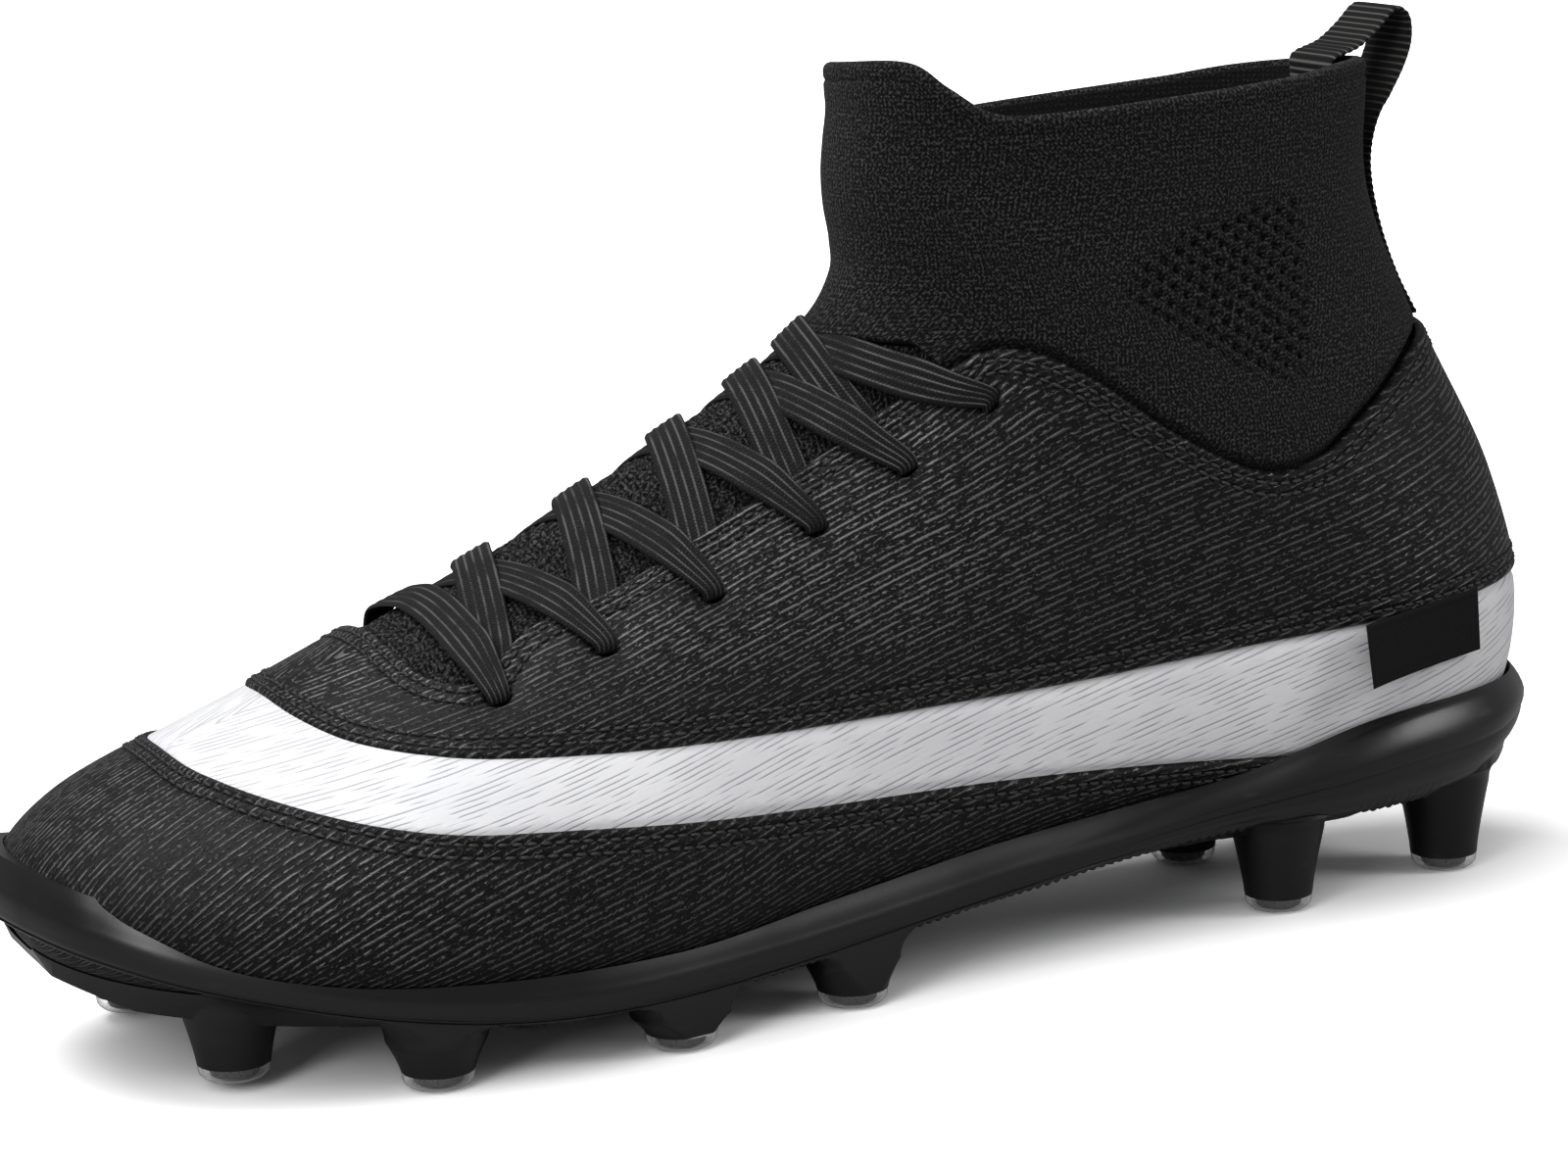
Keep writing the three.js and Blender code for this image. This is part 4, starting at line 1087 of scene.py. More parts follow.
def hidden_layer(name, node, material, offsets, polygon, t_range, g_range=(-1, 1),
                 plane=(0, 2)):
    """An inner part between two offsets, cut to a polygon."""
    sheet = Sheet(t_range, g_range, 2.0)
    polygon = np.asarray(polygon, float)
    trim(sheet, "edge", polygon, np.vstack([polygon, polygon[:1]]), [0.0, 0.35, 0.9], plane)
    d = np.clip(sheet.fields["edge"] / 0.8, 0, 1)
    bevel = (offsets[1] - offsets[0]) * 0.35 * np.sqrt(np.maximum(1 - (1 - d)**2, 0))
    middle = (offsets[1] + offsets[0]) / 2
    half = (offsets[1] - offsets[0]) * 0.15
    points, faces = sheet.shell(middle + half + bevel, middle - half - bevel)
    uv = np.stack([sheet.points()[:, 0], sheet.points()[:, plane[1]]], 1)
    thing = make_mesh(name, points, faces, np.vstack([uv, uv]), [material])
    finish_piece(thing, body="sockliner" if node == "sockliner" else "boot", nodes=[node])


def footprint(share):
    """The plan of the sole, narrowed to a share of the form's width."""
    rows = FORM[1:12]
    outer = np.stack([rows[:, 0], rows[:, 6] - share * rows[:, 4]], 1)
    inner = np.stack([rows[:, 0], rows[:, 6] + share * rows[:, 5]], 1)[::-1]
    toe = [[-126 - 14 * share, 5]]
    heel = [[126 + 20 * share, 0]]
    loop = np.vstack([toe, outer[1:], heel, inner[:-1]])
    return smooth(np.vstack([loop, loop[:1]]), 6)[:-1]


def inner_parts():
    hidden_layer("insole_fibre_board", "insole_board", board_fibre, BOARD, footprint(0.72),
                 (0.4, 12), plane=(0, 1))
    hidden_layer("sockliner_foam", "sockliner", sockliner_cloth.material, SOCKLINER,
                 footprint(0.78), (0.4, 12), plane=(0, 1))
    counter = smooth([[74, 27], [71, 45], [84, 63], [118, 71], [160, 77], [170, 50], [170, 33], [150, 31],
                      [110, 27.6], [74, 27]], 4)[:-1]
    hidden_layer("heel_counter_sheet", "heel_counter", stiff_sheet, STIFFENER, counter, (9, 15))
    foam = smooth([
        [58.5, 62], [61, 79], [72, 75.5], [84, 73], [96, 75.5], [118, 88.5], [160, 96.5], [160, 81],
        [118, 74.5], [84, 66.5], [72, 55], [58.5, 62]], 4)[:-1]
    hidden_layer("ankle_padding", "ankle_foam", open_foam, FOAM, foam, (9, 15))
    puff = [[-160, 27.5], [-160, 60], [-112.5, 60], [-106.5, 30], [-106.5, 27.5]]
    hidden_layer("toe_puff_sheet", "toe_puff", stiff_sheet, STIFFENER, puff, (0, 4), (-0.8, 0.8))


toe_panel()
side_band()
quarter()
throat()
collar()
lining()
inner_parts()

# ------------------------------------------------------------------ lace

LACE_WIDTH = 7.8
LACE_PINCH = 4.6
LACE_THICK = 0.9
LACE_OVER = 1.65
LACE_UNDER = -1.4
TURN = 1.4
RUN_STEPS = 12
LACE_STEP = 0.5
RUN_SAG = [0, 0, 0.05, 0.2, 0.6]
RUN_BENEATH = [(0, LACE_UNDER), (0.2, LACE_UNDER), (0.34, -1.1), (0.58, -0.6), (0.7, 0.1), (0.84, LACE_OVER),
               (1, LACE_OVER)]
RUN_ACROSS = [(0, LACE_UNDER), (0.2, LACE_UNDER), (0.36, 0.0), (0.5, 0.8), (0.68, 0.65), (0.84, LACE_OVER),
              (1, LACE_OVER)]
BAR = [(0, LACE_OVER), (0.16, LACE_OVER), (0.32, 0.3), (0.5, -0.1), (0.68, 0.3), (0.84, LACE_OVER),
       (1, LACE_OVER)]


def lace_knots():
    """Station, distance from the ridge, height over the form and width along the whole lace."""
    def run(start, end, sag, heights):
        knots = []
        shares, levels = zip(*heights)
        for k in range(1, RUN_STEPS):
            s = k / RUN_STEPS
            bulge = 4 * s * (1 - s)
            narrow = min(1.0, min(s, 1 - s) / 0.16)
            width = LACE_PINCH + (LACE_WIDTH - LACE_PINCH) * narrow
            station = start[0] + (end[0] - start[0]) * s - sag * bulge
            knots.append((station, start[1] + (end[1] - start[1]) * s, np.interp(s, shares, levels), width))
        return knots

    def turn(row, side):
        t, r = eyelet(row, side)
        middle = (LACE_OVER + LACE_UNDER) / 2
        return [(t, r, LACE_OVER - 0.15, LACE_PINCH), (t, r + side * TURN, middle, LACE_PINCH - 0.6),
                (t, r, LACE_UNDER, LACE_PINCH - 0.6)]

    def tail(side):
        t, r = eyelet(len(EYELETS) - 1, side)
        steps = [(0, LACE_OVER), (TURN, 0.2), (TURN + 1.2, LACE_UNDER), (8, LACE_UNDER), (14, LACE_UNDER)]
        return [(t, r + side * out, height, LACE_PINCH - 0.4) for out, height in steps]

    def climb(side):
        knots = []
        for row in range(len(EYELETS) - 1):
            knots += turn(row, side)
            knots += run(eyelet(row, side), eyelet(row + 1, -side), RUN_SAG[row],
                         RUN_ACROSS if side < 0 else RUN_BENEATH)
            side = -side
        return knots + tail(side)

    return climb(-1)[::-1] + run(eyelet(0, -1), eyelet(0, 1), 0, BAR) + climb(1)


def lace():
    t, r, height, width = np.array(lace_knots(), float).T
    g = girth(t, r)
    knots = form_at(t, g, height)
    normals = normal_at(t, g)
    packed = np.hstack([knots, normals, width[:, None]])
    phantom = np.vstack([packed[:1], packed, packed[-1:]])
    fine = []
    for i in range(len(packed) - 1):
        a, b, c, d = phantom[i:i + 4]
        f = np.linspace(0, 1, 12, endpoint=False)[:, None]
        fine.append((2 * f**3 - 3 * f**2 + 1) * b + (f**3 - 2 * f**2 + f) * (c - a) / 2
                    + (3 * f**2 - 2 * f**3) * c + (f**3 - f**2) * (d - b) / 2)
    fine = np.vstack(fine + [packed[-1:]])
    line, normals, width = resampled(fine[:, :3], LACE_STEP, fine[:, 3:6], fine[:, 6])
    tangents = np.gradient(line, axis=0)
    tangents /= np.linalg.norm(tangents, axis=1, keepdims=True)
    across = np.empty_like(line)
    last = np.cross(normals[0], tangents[0])
    for k, way in enumerate(tangents):
        side = last - way * (last @ way)
        side /= np.linalg.norm(side)
        flat = np.cross(normals[k], way)
        size = np.linalg.norm(flat)
        if size > 0.55:
            flat = flat / size * (1 if flat @ side > 0 else -1)
            side = side + (flat - side) * min((size - 0.55) / 0.3, 1.0)
            side /= np.linalg.norm(side)
        across[k] = last = side
    up = np.cross(tangents, across)
    # The braid: rounded edges and five lengthwise ribs on each face.
    u = np.linspace(-1, 1, 31)
    edge = np.sqrt(np.maximum(1 - np.abs(u)**5, 0))
    rib = 0.1 * np.cos(2 * math.pi * u * 2.5) * edge
    top = LACE_THICK / 2 * edge + rib
    outline = np.vstack([np.stack([u, top], 1), np.stack([u[::-1], -top[::-1]], 1)[1:-1]])
    count = len(outline)
    rings = (line[:, None] + across[:, None] * (outline[None, :, :1] * width[:, None, None] / 2)
             + up[:, None] * outline[None, :, 1:])
    n = len(line)
    faces = ring_quads(n, count)[:, ::-1].tolist()
    faces += [list(range(count)), list(range((n - 1) * count, n * count))[::-1]]
    uv = np.stack([np.tile(outline[:, 0] * LACE_WIDTH / 2, n), np.repeat(np.arange(n) * LACE_STEP, count)], 1)
    thing = make_mesh("lace_braid", rings.reshape(-1, 3), faces, uv, [braid])
    finish_piece(thing, nodes=["lace"])


def lace_tips():
    angle = np.linspace(0, 2 * math.pi, 20, endpoint=False)
    for side, label in ((-1, "outer"), (1, "inner")):
        t, r = eyelet(len(EYELETS) - 1, side)
        out = np.linspace(14.4, 24, 30)
        spread = np.full(30, t)
        g = girth(spread, r + side * out)
        line, normals = form_at(spread, g, LACE_UNDER), normal_at(spread, g)
        ends = np.sqrt(np.clip(1 - (2 * (out - out[0]) / 9.6 - 1)**16, 0.05, 1))
        outline = np.stack([np.stack([1.85 * e * np.cos(angle), 0.5 * e * np.sin(angle)], 1) for e in ends])
        points, faces = sweep(line, normals, outline)
        thing = make_mesh(f"lace_tip_film_{label}", points, faces, None, [lace_film])
        finish_piece(thing, nodes=[f"lace_tip_{label}"])


# ------------------------------------------------------------------ outsole plate and studs

PLATE_OUTER_SIDE = [
    [-147, 5], [-143.5, -8.2], [-136, -21.8], [-120, -34.6], [-92, -45.2], [-60, -48.5], [-22, -42.5],
    [22, -35.5], [62, -34], [100, -37.5], [130, -31], [147, -16], [153, 0]]
PLATE_INNER_SIDE = [
    [-147, 5], [-143.5, 19], [-136, 30], [-119, 38], [-92, 42], [-60, 43.5], [-22, 40.5], [22, 34.5],
    [62, 33], [100, 36], [130, 31], [147, 16], [153, 0]]
PLATE_TOP = smooth([
    [-147, 35], [-136, 31.4], [-118, 25.4], [-92, 19], [-60, 15.4], [-28, 15.4], [10, 18.4], [50, 23.4],
    [75, 28.4], [92, 32.6], [115, 36.6], [153, 37.6]])
PLATE_UNDERSIDE = smooth([
    [-147, 28.4], [-136, 24.6], [-118, 19.4], [-92, 13.6], [-65, 10], [-30, 9.6], [10, 13], [50, 17],
    [75, 18.9], [100, 19.2], [130, 20.4], [153, 25]])
# The wall from the top edge down: share of its height, inset at the forefoot, inset at the heel cup.
WALL = [
    (1.75, 2.6, 9.0), (1.5, 1.6, 6.6), (1.3, 1.05, 5.2), (1.16, 0.75, 4.3), (1.06, 0.55, 3.55),
    (1.0, 0.42, 2.95), (0.95, 0.3, 2.3), (0.88, 0.18, 1.6), (0.8, 0.08, 0.95), (0.72, 0.03, 0.45),
    (0.65, 0.0, 0.2), (0.58, 0.02, 0.25), (0.53, 0.05, 0.6), (0.5, 0.08, 0.95), (0.47, 0.1, 0.85),
    (0.42, 0.12, 0.8),
    (0.36, 0.16, 1.1), (0.3, 0.25, 1.6), (0.24, 0.45, 2.3), (0.2, 0.95, 2.8), (0.16, 0.95, 3.3),
    (0.13, 0.7, 3.6), (0.08, 1.0, 4.3), (0.04, 1.5, 5.0), (0.015, 2.1, 5.7), (0.0, 2.9, 6.6)]
LIP_RISE = 6.0
PLATE_COLUMNS = 640
PLATE_ROWS = 44
BELLY_DEPTH = 3.0
TOOTH_PITCH = 1.9
TOOTH_HEIGHT = 1.0
STUDS = {
    "outer_toe": (-112, -20, 1.5), "outer_front": (-82, -37.5, 0), "outer_ball": (-38.5, -38.8, 0),
    "outer_waist": (-3, -32, 0), "inner_toe": (-116, 28, 1.5), "inner_front": (-84, 33, 0),
    "inner_ball": (-45, 34, 0), "inner_waist": (-6, 29, 0), "centre": (-56, -13, 0),
    "outer_heel_front": (90, -20, 0), "outer_heel_rear": (131, -12, 0),
    "inner_heel_front": (91, 18, 0), "inner_heel_rear": (113, 19, 0)}
STUD_CAP = 2.6
STUD_TIP_R = 6.3
STUD_ROOT_R = 8.7
STUD_FILLET = 4.2


def plate_side(points):
    line = smooth(points, 24)
    lengths = np.concatenate([[0], np.cumsum(np.linalg.norm(np.diff(line, axis=0), axis=1))])
    even = np.linspace(0, 1, PLATE_COLUMNS)
    want = lengths[-1] * (0.6 * even + 0.4 * (1 - np.cos(math.pi * even)) / 2)
    return np.stack([np.interp(want, lengths, line[:, k]) for k in range(2)], 1)


def underside(x):
    return np.interp(x, PLATE_UNDERSIDE[:, 0], PLATE_UNDERSIDE[:, 1])


def sole_of_form(x):
    return np.interp(x, FORM[:13, 0], FORM[:13, 1])


def teeth(x):
    """The serrated lower edge of the waist and of the heel."""
    saw = np.abs(np.mod(np.asarray(x) / TOOTH_PITCH, 1) - 0.5) * 2
    where = ease(x, -30, -24) * (1 - ease(x, 76, 80)) + ease(x, 99, 102) * (1 - ease(x, 118, 121))
    return TOOTH_HEIGHT * saw * where


CHEVRON_PITCH = 8.0
CHEVRON_LEAN = 0.8
RELIEF_DEPTH = 0.55


def plate_relief(x, y):
    """Raised chevron ribs and a spine on the underside, in depth."""
    spine = 0.9 * np.exp(-(y / 3.2)**2) * ease(x, -100, -80) * (1 - ease(x, 70, 90))
    run = x + CHEVRON_LEAN * np.abs(y)
    chevron = np.clip(np.cos(2 * math.pi * run / CHEVRON_PITCH) - 0.2, 0, 0.5) * 1.1
    return spine + chevron * ease(np.abs(y), 4, 8) * (1 - ease(np.abs(y), 18, 26)) * ease(x, -104, -90)


def plate_solid():
    outer, inner = plate_side(PLATE_OUTER_SIDE), plate_side(PLATE_INNER_SIDE)
    loop = np.vstack([outer, inner[1:-1][::-1]])
    count = len(loop)
    tangent = np.roll(loop, -1, 0) - np.roll(loop, 1, 0)
    tangent /= np.linalg.norm(tangent, axis=1, keepdims=True)
    inward = np.stack([-tangent[:, 1], tangent[:, 0]], 1)
    x = loop[:, 0]
    low, high = underside(x), np.interp(x, PLATE_TOP[:, 0], PLATE_TOP[:, 1])
    heel = ease(x, 20, 95)
    rings = []
    for share, fore, rear in WALL:
        inset = fore + (rear - fore) * heel
        place = loop + inward * inset[:, None]
        over = max(share - 1, 0)
        z = low + min(share, 1) * (high - low) + over * LIP_RISE - teeth(x) * max(0, 1 - share / 0.14)
        rings.append(np.column_stack([place, z]))
    points = np.vstack(rings)
    faces = flipped(ring_quads(len(rings), count)).tolist()
    n = PLATE_COLUMNS
    columns = np.arange(n)
    other = (count - columns) % count
    other[-1] = n - 1
    top_faces = [[int(i), int(i + 1), int(other[i + 1]), int(other[i])] for i in range(n - 1)]
    base = (len(rings) - 1) * count
    index = np.empty((n, PLATE_ROWS + 1), int)
    index[:, 0], index[:, -1] = base + columns, base + other
    bottom = rings[-1]
    start, end = bottom[columns], bottom[other]
    extra = []
    for q in range(1, PLATE_ROWS):
        share = q / PLATE_ROWS
        p = start + (end - start) * share
        rise = min(share, 1 - share) * PLATE_ROWS / 5
        inside_edge = min(rise, 1.0)
        px, py = p[:, 0], p[:, 1]
        flat = underside(px)
        belly = np.minimum(flat, sole_of_form(px) - BELLY_DEPTH)
        width = np.linalg.norm(end - start, axis=1)
        wide = ease(width, 8, 30)
        z = p[:, 2] * (1 - inside_edge) + (flat + (belly - flat) * inside_edge) * inside_edge
        z = z - RELIEF_DEPTH * plate_relief(px, py) * inside_edge * wide
        extra.append(np.column_stack([p[:, :2], z]))
        index[:, q] = len(points) + (q - 1) * n + columns
    index[0, :], index[-1, :] = base, base + n - 1
    points = np.vstack([points] + extra)
    for q in range(PLATE_ROWS):
        quads = np.stack([index[:-1, q], index[:-1, q + 1], index[1:, q + 1], index[1:, q]], 1)
        faces += quads.tolist()
    clean = []
    for face in faces + top_faces:
        short = [v for i, v in enumerate(face) if v != face[i - 1]]
        if len(short) > 2:
            clean.append(short)
    return points, clean, loop


def stud_solid(x, y, tip, loop):
    """A stud with a filleted root, held inside the plate's wall."""
    root = float(underside(x))
    sides = 72
    angle = np.arange(sides) * 2 * math.pi / sides
    profile = [(STUD_TIP_R, tip + STUD_CAP)]
    neck = root - STUD_FILLET * 0.9
    for s in np.linspace(0.15, 1, 6):
        radius = STUD_TIP_R + (STUD_ROOT_R - STUD_TIP_R) * s**1.25
        profile.append((radius, tip + STUD_CAP + (neck - tip - STUD_CAP) * s))
    for turn in np.linspace(0.12, 1, 9) * math.pi / 2:
        radius = STUD_ROOT_R + STUD_FILLET * (1 - math.cos(turn))
        profile.append((radius, neck + STUD_FILLET * 0.95 * math.sin(turn)))
    profile.append((STUD_ROOT_R + STUD_FILLET - 0.8, root + 2.6))
    rings = []
    for radius, z in profile:
        px, py = x + radius * np.cos(angle), y + radius * np.sin(angle)
        follow = np.clip((z - neck) / (root - neck), 0, 1)
        pz = z + (underside(px) - root) * follow
        limit = 0.9 + 3.0 * ease(px, 40, 95)
        for i in range(sides):
            gap = loop - (px[i], py[i])
            reach = np.hypot(gap[:, 0], gap[:, 1])
            nearest = int(np.argmin(reach))
            spot, inward = np.array([px[i], py[i]]), inward_of(loop, nearest)
            within = (spot - loop[nearest]) @ inward
            if within < limit[i]:
                px[i], py[i] = spot + inward * (limit[i] - within)
        rings.append(np.column_stack([px, py, pz]))
    last = (len(rings) - 1) * sides
    faces = ring_quads(len(rings), sides).tolist()
    faces += [list(range(sides))[::-1], list(range(last, last + sides))]
    return np.vstack(rings), faces


def inward_of(loop, k):
    way = loop[(k + 1) % len(loop)] - loop[k - 1]
    way = way / np.linalg.norm(way)
    return np.array([-way[1], way[0]])


def combined(target, tool, operation):
    modifier = target.modifiers.new("join", "BOOLEAN")
    modifier.operation = operation
    modifier.solver = "MANIFOLD"
    modifier.object = tool
    bpy.context.view_layer.update()
    result = bpy.data.meshes.new_from_object(target.evaluated_get(bpy.context.evaluated_depsgraph_get()))
    target.modifiers.remove(modifier)
    if len(result.polygons):
        target.data = result
    else:
        print("boolean gave nothing:", target.name, tool.name)
    bpy.data.objects.remove(tool)


def capped_quads(rings, count, apex):
    """Faces of a closed body of rings, with an end point at apex and the other one after it."""
    last = (rings - 1) * count
    faces = flipped(ring_quads(rings, count)).tolist()
    faces += [[apex, k, (k + 1) % count] for k in range(count)]
    faces += [[apex + 1, last + (k + 1) % count, last + k] for k in range(count)]
    return faces


def form_solid(offset, top):
    """A closed body of the form at an offset, up to station top."""
    t = np.linspace(0.12, top, int(top * 14))
    g = np.linspace(-1, 1, 220, endpoint=False)
    tt, gg = np.meshgrid(t, g, indexing="ij")
    rings = form_at(tt, gg, np.full(tt.shape, offset))
    n = len(g)
    points = np.vstack([rings.reshape(-1, 3), form_at([0], [0], [offset]), rings[-1].mean(0, keepdims=True)])
    return points, capped_quads(len(t), n, len(points) - 2)


def outsole():
    points, faces, loop = plate_solid()
    plate = make_mesh("plate_moulding", points, faces, None, [moulded])
    for name, (x, y, tip) in STUDS.items():
        p, f = stud_solid(x, y, tip, loop)
        combined(plate, make_mesh("stud_" + name, p, f, None, [moulded]), "UNION")
    p, f = form_solid(PANEL[1] + 0.25, 13.5)
    combined(plate, make_mesh("cavity", p, f, None, [moulded]), "DIFFERENCE")
    mesh = plate.data
    mesh.polygons.foreach_set("use_smooth", np.ones(len(mesh.polygons), bool))
    mesh.set_sharp_from_angle(angle=math.radians(38))
    finish_piece(plate, nodes=["outsole_plate"])


def lathe(profile, x, y, sides=56):
    """A closed turned body; the profile starts and ends on the axis."""
    angle = np.arange(sides) * 2 * math.pi / sides
    rings = [np.column_stack([x + r * np.cos(angle), y + r * np.sin(angle), np.full(sides, z)])
             for r, z in profile[1:-1]]
    points = np.vstack(rings + [[[x, y, profile[0][1]]], [[x, y, profile[-1][1]]]])
    return points, capped_quads(len(rings), sides, len(points) - 2)


def stud_tips():
    for name, (x, y, tip) in STUDS.items():
        top = tip + STUD_CAP - 0.02
        shell = [(0, top), (STUD_TIP_R - 0.12, top), (STUD_TIP_R - 0.02, top - 0.12),
                 (STUD_TIP_R - 0.2, tip + 1.2), (STUD_TIP_R - 0.38, tip + 0.85),
                 (STUD_TIP_R - 0.95, tip + 0.3), (STUD_TIP_R - 1.35, tip + 0.05), (STUD_TIP_R - 1.7, tip),
                 (0, tip)]
        core = [(0, top - 0.1), (4.5, top - 0.1), (4.6, top - 0.2), (4.1, tip + 0.6), (3.9, tip + 0.45),
                (0, tip + 0.45)]
        p0, f0 = lathe(shell, x, y)
        p1, f1 = lathe(core, x, y)
        faces = f0 + [[v + len(p0) for v in face] for face in f1]
        thing = make_mesh(f"clear_tip_{name}", np.vstack([p0, p1]), faces, None, [clear, tip_core],
                          [0] * len(f0) + [1] * len(f1), 24)
        finish_piece(thing, nodes=[f"stud_tip_{name}"])


# ------------------------------------------------------------------ pull loop and label

LOOP_LINE = [
    [111.6, 141], [111.6, 146], [111.6, 151], [111.9, 154.4], [117.2, 156.4], [121.4, 159.4],
    [125.2, 162.7], [128, 161.4], [128.4, 157], [126.8, 152.4], [124, 147.6], [121.9, 144], [121, 139],
    [121.2, 131], [123.2, 122], [126.6, 113], [130.6, 105.5]]
WEBBING_WIDTH = 15.6
WEBBING_THICK = 1.2
WEBBING_STEP = 0.26
WEBBING_RIB = 1.35


def pull_loop():
    line = smooth(LOOP_LINE, 30)
    line = np.column_stack([line[:, 0], np.zeros(len(line)), line[:, 1]])
    line = resampled(line, WEBBING_STEP)[0]
    tangents = np.gradient(line, axis=0)
    normals = np.cross((0, 1, 0), tangents)
    run = np.arange(len(line)) * WEBBING_STEP
    u = np.linspace(-1, 1, 25)
    edge = np.sqrt(np.maximum(1 - np.abs(u)**9, 0))
    outlines = []
    for s in run:
        ribs = 0.17 * math.cos(2 * math.pi * s / WEBBING_RIB)
        taper = 1 - 0.35 * float(ease(s, 48, 62))
        top = (WEBBING_THICK / 2 - 0.1 + ribs * 0.7) * edge
        half = WEBBING_WIDTH / 2 * taper
        upper = np.stack([u * half, top], 1)
        lower = np.stack([u[::-1] * half, -top[::-1]], 1)[1:-1]
        outlines.append(np.vstack([upper, lower]))
    outlines = np.array(outlines)
    points, faces = sweep(line, normals, outlines)
    count = outlines.shape[1]
    uv = np.stack([outlines[0, :, 0][None].repeat(len(line), 0).ravel(), np.repeat(run, count)], 1)
    faces = [face[::-1] for face in faces]
    thing = make_mesh("loop_webbing", points, faces, uv, [webbing])
    finish_piece(thing, body=None,
                 nodes=["pull_loop", "pull_loop_end_inside", "pull_loop_end_outside"])
    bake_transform(thing)


LABEL_LENGTH = 30.5
LABEL_HEIGHT = 11.8
LABEL_CORNER = (97.5, -39.1, 56)
LABEL_TURN = 0.27
LABEL_RISE = 0.06


def side_label():
    """A folded woven label that hangs from the quarter's lower edge; its front edge curls outwards."""
    columns, rows = 70, 34
    u = np.linspace(0, 1, columns)
    v = np.linspace(0, 1, rows)
    uu, vv = np.meshgrid(u, v, indexing="ij")
    distance = np.minimum(np.minimum(uu, 1 - uu) * LABEL_LENGTH, np.minimum(vv, 1 - vv) * LABEL_HEIGHT)
    thick = 0.38 * np.sqrt(np.maximum(1 - (1 - np.clip(distance / 0.5, 0, 1))**2, 0.02))
    hem = 0.12 * np.exp(-((distance - 1.5) / 0.25)**2)
    curl = 2.6 * (1 - uu)**3 * (0.4 + 0.6 * vv) + 0.12 * np.sin(3.0 * uu + 1.5 * vv) * vv
    local_x = uu * LABEL_LENGTH
    local_z = -vv * LABEL_HEIGHT
    sheets = []
    for sign in (-1, 1):
        y = -curl * 0.6 + sign * (thick - hem)
        sheets.append(np.stack([local_x, y, local_z], 2).reshape(-1, 3))
    points = np.vstack(sheets)
    turn = Matrix.Rotation(LABEL_TURN, 3, "Z") @ Matrix.Rotation(-LABEL_RISE, 3, "Y")
    points = points @ np.array(turn).T + LABEL_CORNER
    faces = []
    n = columns * rows
    i, j = np.meshgrid(np.arange(columns - 1), np.arange(rows - 1), indexing="ij")
    a = (i * rows + j).ravel()
    faces += np.stack([a, a + 1, a + rows + 1, a + rows], 1).tolist()
    faces += np.stack([a + n, a + rows + n, a + rows + 1 + n, a + 1 + n], 1).tolist()
    rim = ([k * rows for k in range(columns)] + [(columns - 1) * rows + k for k in range(1, rows)]
           + [k * rows + rows - 1 for k in range(columns - 2, -1, -1)] + list(range(rows - 2, 0, -1)))
    for p, q in zip(rim, rim[1:] + rim[:1]):
        faces.append([p, q, q + n, p + n])
    uv = np.tile(np.stack([local_x.ravel(), local_z.ravel()], 1), (2, 1))
    thing = make_mesh("plain_side_label", points, faces, uv, [label_cloth])
    finish_piece(thing, body="side_label", nodes=["side_label"])


lace()
lace_tips()
outsole()
stud_tips()
pull_loop()
side_label()


# ------------------------------------------------------------------ stage, light and camera

FLOOR_WHITE = 1.25
FLOOR_HALF = 8.0
FLOOR_LEVEL = -0.0004


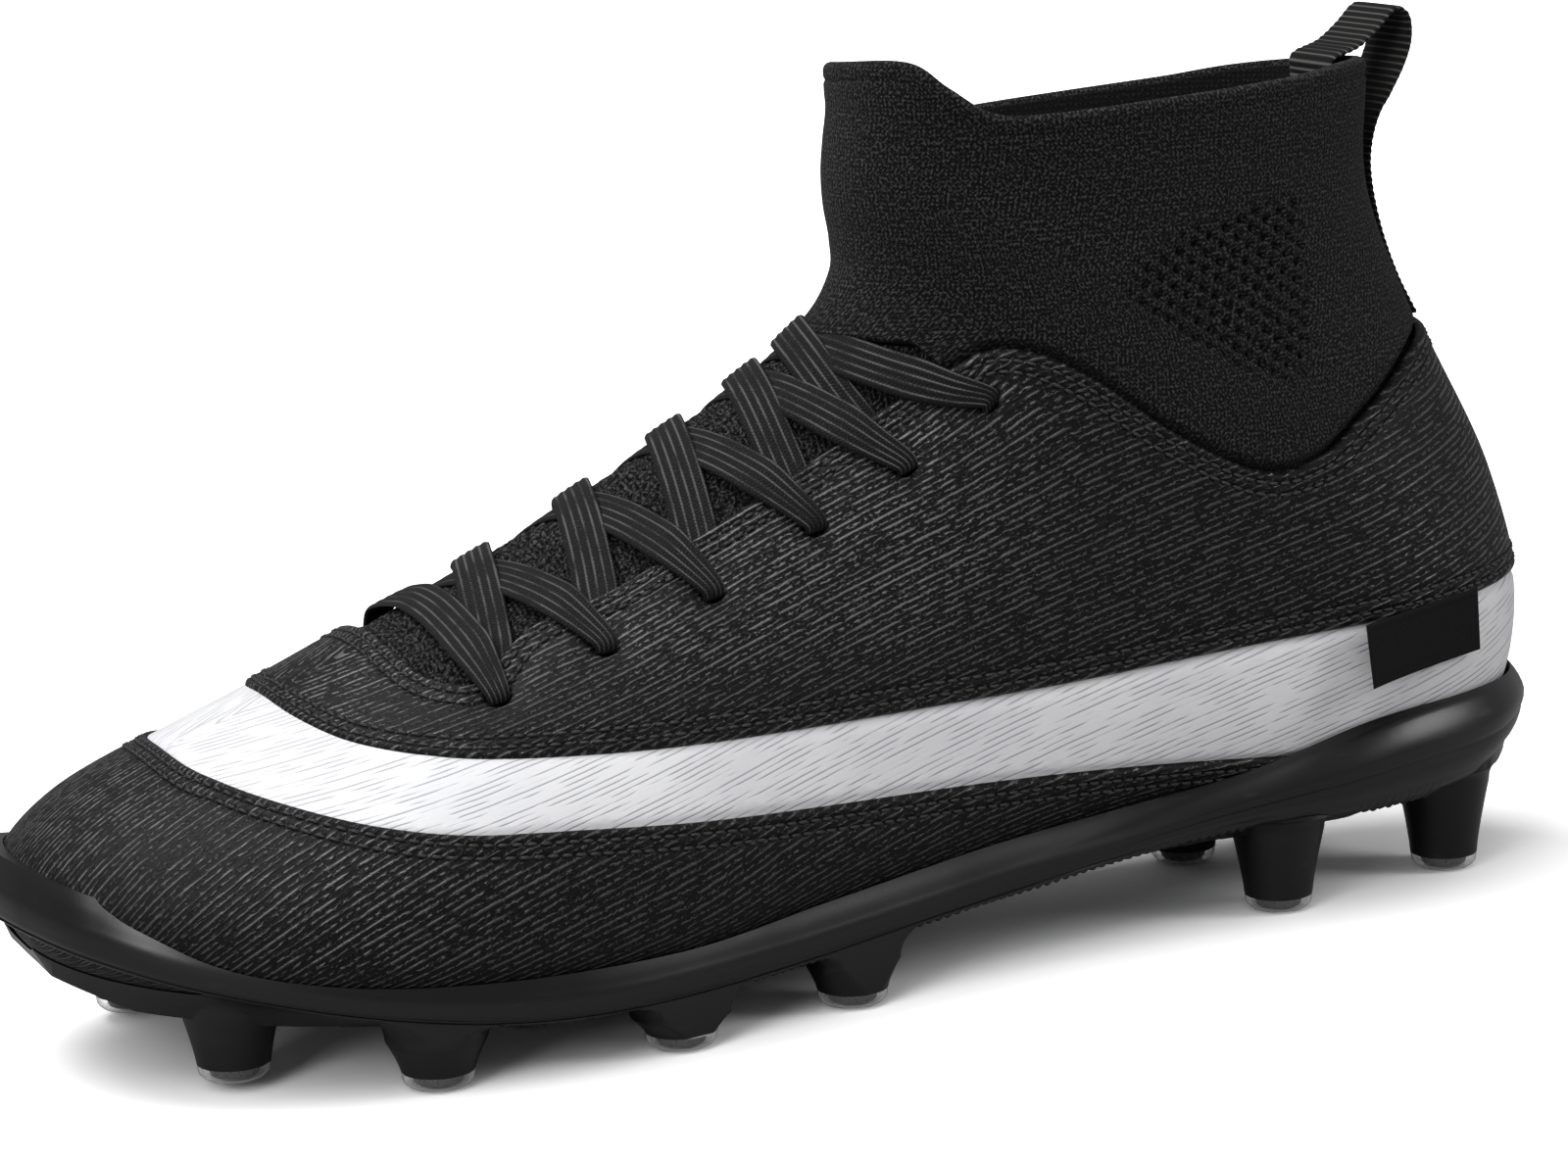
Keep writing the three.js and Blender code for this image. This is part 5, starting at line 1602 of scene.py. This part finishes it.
def floor_and_light():
    look = Look("studio_floor")
    haze = look.noise(look.place(), 0.4, 2.0)
    seen_white = look.mix(haze, (FLOOR_WHITE,) * 3, (FLOOR_WHITE + 0.02,) * 3)
    path = look.tree.nodes.new("ShaderNodeLightPath").outputs["Is Camera Ray"]
    look.set(Base_Color=look.mix(path, (0.3, 0.3, 0.3), seen_white), Roughness=0.7,
             Emission_Color=(1, 1, 1))
    length = look.tree.nodes.new("ShaderNodeVectorMath")
    length.operation = "LENGTH"
    look.tree.links.new(look.place(), length.inputs[0])
    # Away from the shoe the floor turns white for the camera.
    look.set(Emission_Strength=look.times(path, look.ramp(length.outputs["Value"], 0.25, 0.9)))
    # The floor can't be seen from below.
    from_below = look.tree.nodes.new("ShaderNodeNewGeometry").outputs["Backfacing"]
    look.set(Specular_IOR_Level=0.25, Alpha=look.math("SUBTRACT", 1.0, from_below))
    mesh = bpy.data.meshes.new("floor")
    corners = [(-1, -1), (1, -1), (1, 1), (-1, 1)]
    mesh.from_pydata([(x * FLOOR_HALF, y * FLOOR_HALF, FLOOR_LEVEL) for x, y in corners], [], [(0, 1, 2, 3)])
    mesh.materials.append(look.material)
    floor = bpy.data.objects.new("floor", mesh)
    bpy.context.scene.collection.objects.link(floor)

    world = bpy.data.worlds.new("studio")
    bpy.context.scene.world = world
    world.use_nodes = True
    tree = world.node_tree
    tree.nodes.clear()
    output = tree.nodes.new("ShaderNodeOutputWorld")
    path = tree.nodes.new("ShaderNodeLightPath")
    seen, unseen = tree.nodes.new("ShaderNodeBackground"), tree.nodes.new("ShaderNodeBackground")
    seen.inputs["Strength"].default_value = 1.0
    seen.inputs["Color"].default_value = (1, 1, 1, 1)
    unseen.inputs["Strength"].default_value = 0.28
    unseen.inputs["Color"].default_value = (1, 1, 1, 1)
    mix = tree.nodes.new("ShaderNodeMixShader")
    tree.links.new(path.outputs["Is Camera Ray"], mix.inputs[0])
    tree.links.new(unseen.outputs[0], mix.inputs[1])
    tree.links.new(seen.outputs[0], mix.inputs[2])
    tree.links.new(mix.outputs[0], output.inputs[0])


def lamp(kind, name, place, aim, energy, size=0.0):
    data = bpy.data.lights.new(name, kind)
    data.energy = energy
    if kind == "SUN":
        data.angle = size
    else:
        data.shape = "DISK"
        data.size = size
    thing = bpy.data.objects.new(name, data)
    bpy.context.scene.collection.objects.link(thing)
    thing.location = place
    thing.rotation_euler = (Vector(aim) - Vector(place)).to_track_quat("-Z", "Y").to_euler()


def camera():
    """A long lens at the outer side, a little in front of the shoe and above it."""
    target = Vector(to_row([0, 0, 70]))
    azimuth, elevation, roll = math.radians(-23.7), math.radians(11.9), math.radians(-2.3)
    distance = 0.8
    back = Vector((math.sin(azimuth) * math.cos(elevation), -math.cos(azimuth) * math.cos(elevation),
                   math.sin(elevation)))
    right = Vector((math.cos(azimuth), math.sin(azimuth), 0))
    up = back.cross(right)
    rolled_right = right * math.cos(roll) + up * math.sin(roll)
    rolled_up = up * math.cos(roll) - right * math.sin(roll)
    data = bpy.data.cameras.new("camera")
    data.sensor_width = 36
    data.lens = 102.8
    data.shift_x = 0.00375
    data.shift_y = -0.0031
    data.clip_start = 0.01
    data.clip_end = 50
    thing = bpy.data.objects.new("camera", data)
    bpy.context.scene.collection.objects.link(thing)
    axes = Matrix((rolled_right, rolled_up, back)).transposed().to_4x4()
    thing.matrix_world = Matrix.Translation(target + back * distance) @ axes
    bpy.context.scene.camera = thing


floor_and_light()
lamp("SUN", "soft_key", (-1.0, -0.7, 1.8), (0, 0, 0), 1.75, math.radians(50))
lamp("AREA", "top_sheen", (-0.35, 0.25, 0.95), (0, 0, 0.06), 7, 0.7)
lamp("AREA", "front_left", (-1.0, -0.75, 0.55), (0, 0, 0.05), 5, 0.5)
lamp("AREA", "heel_rim", (0.8, -0.5, 0.5), (0.05, 0, 0.06), 3, 0.4)
camera()
bpy.context.scene.view_settings.view_transform = "Standard"
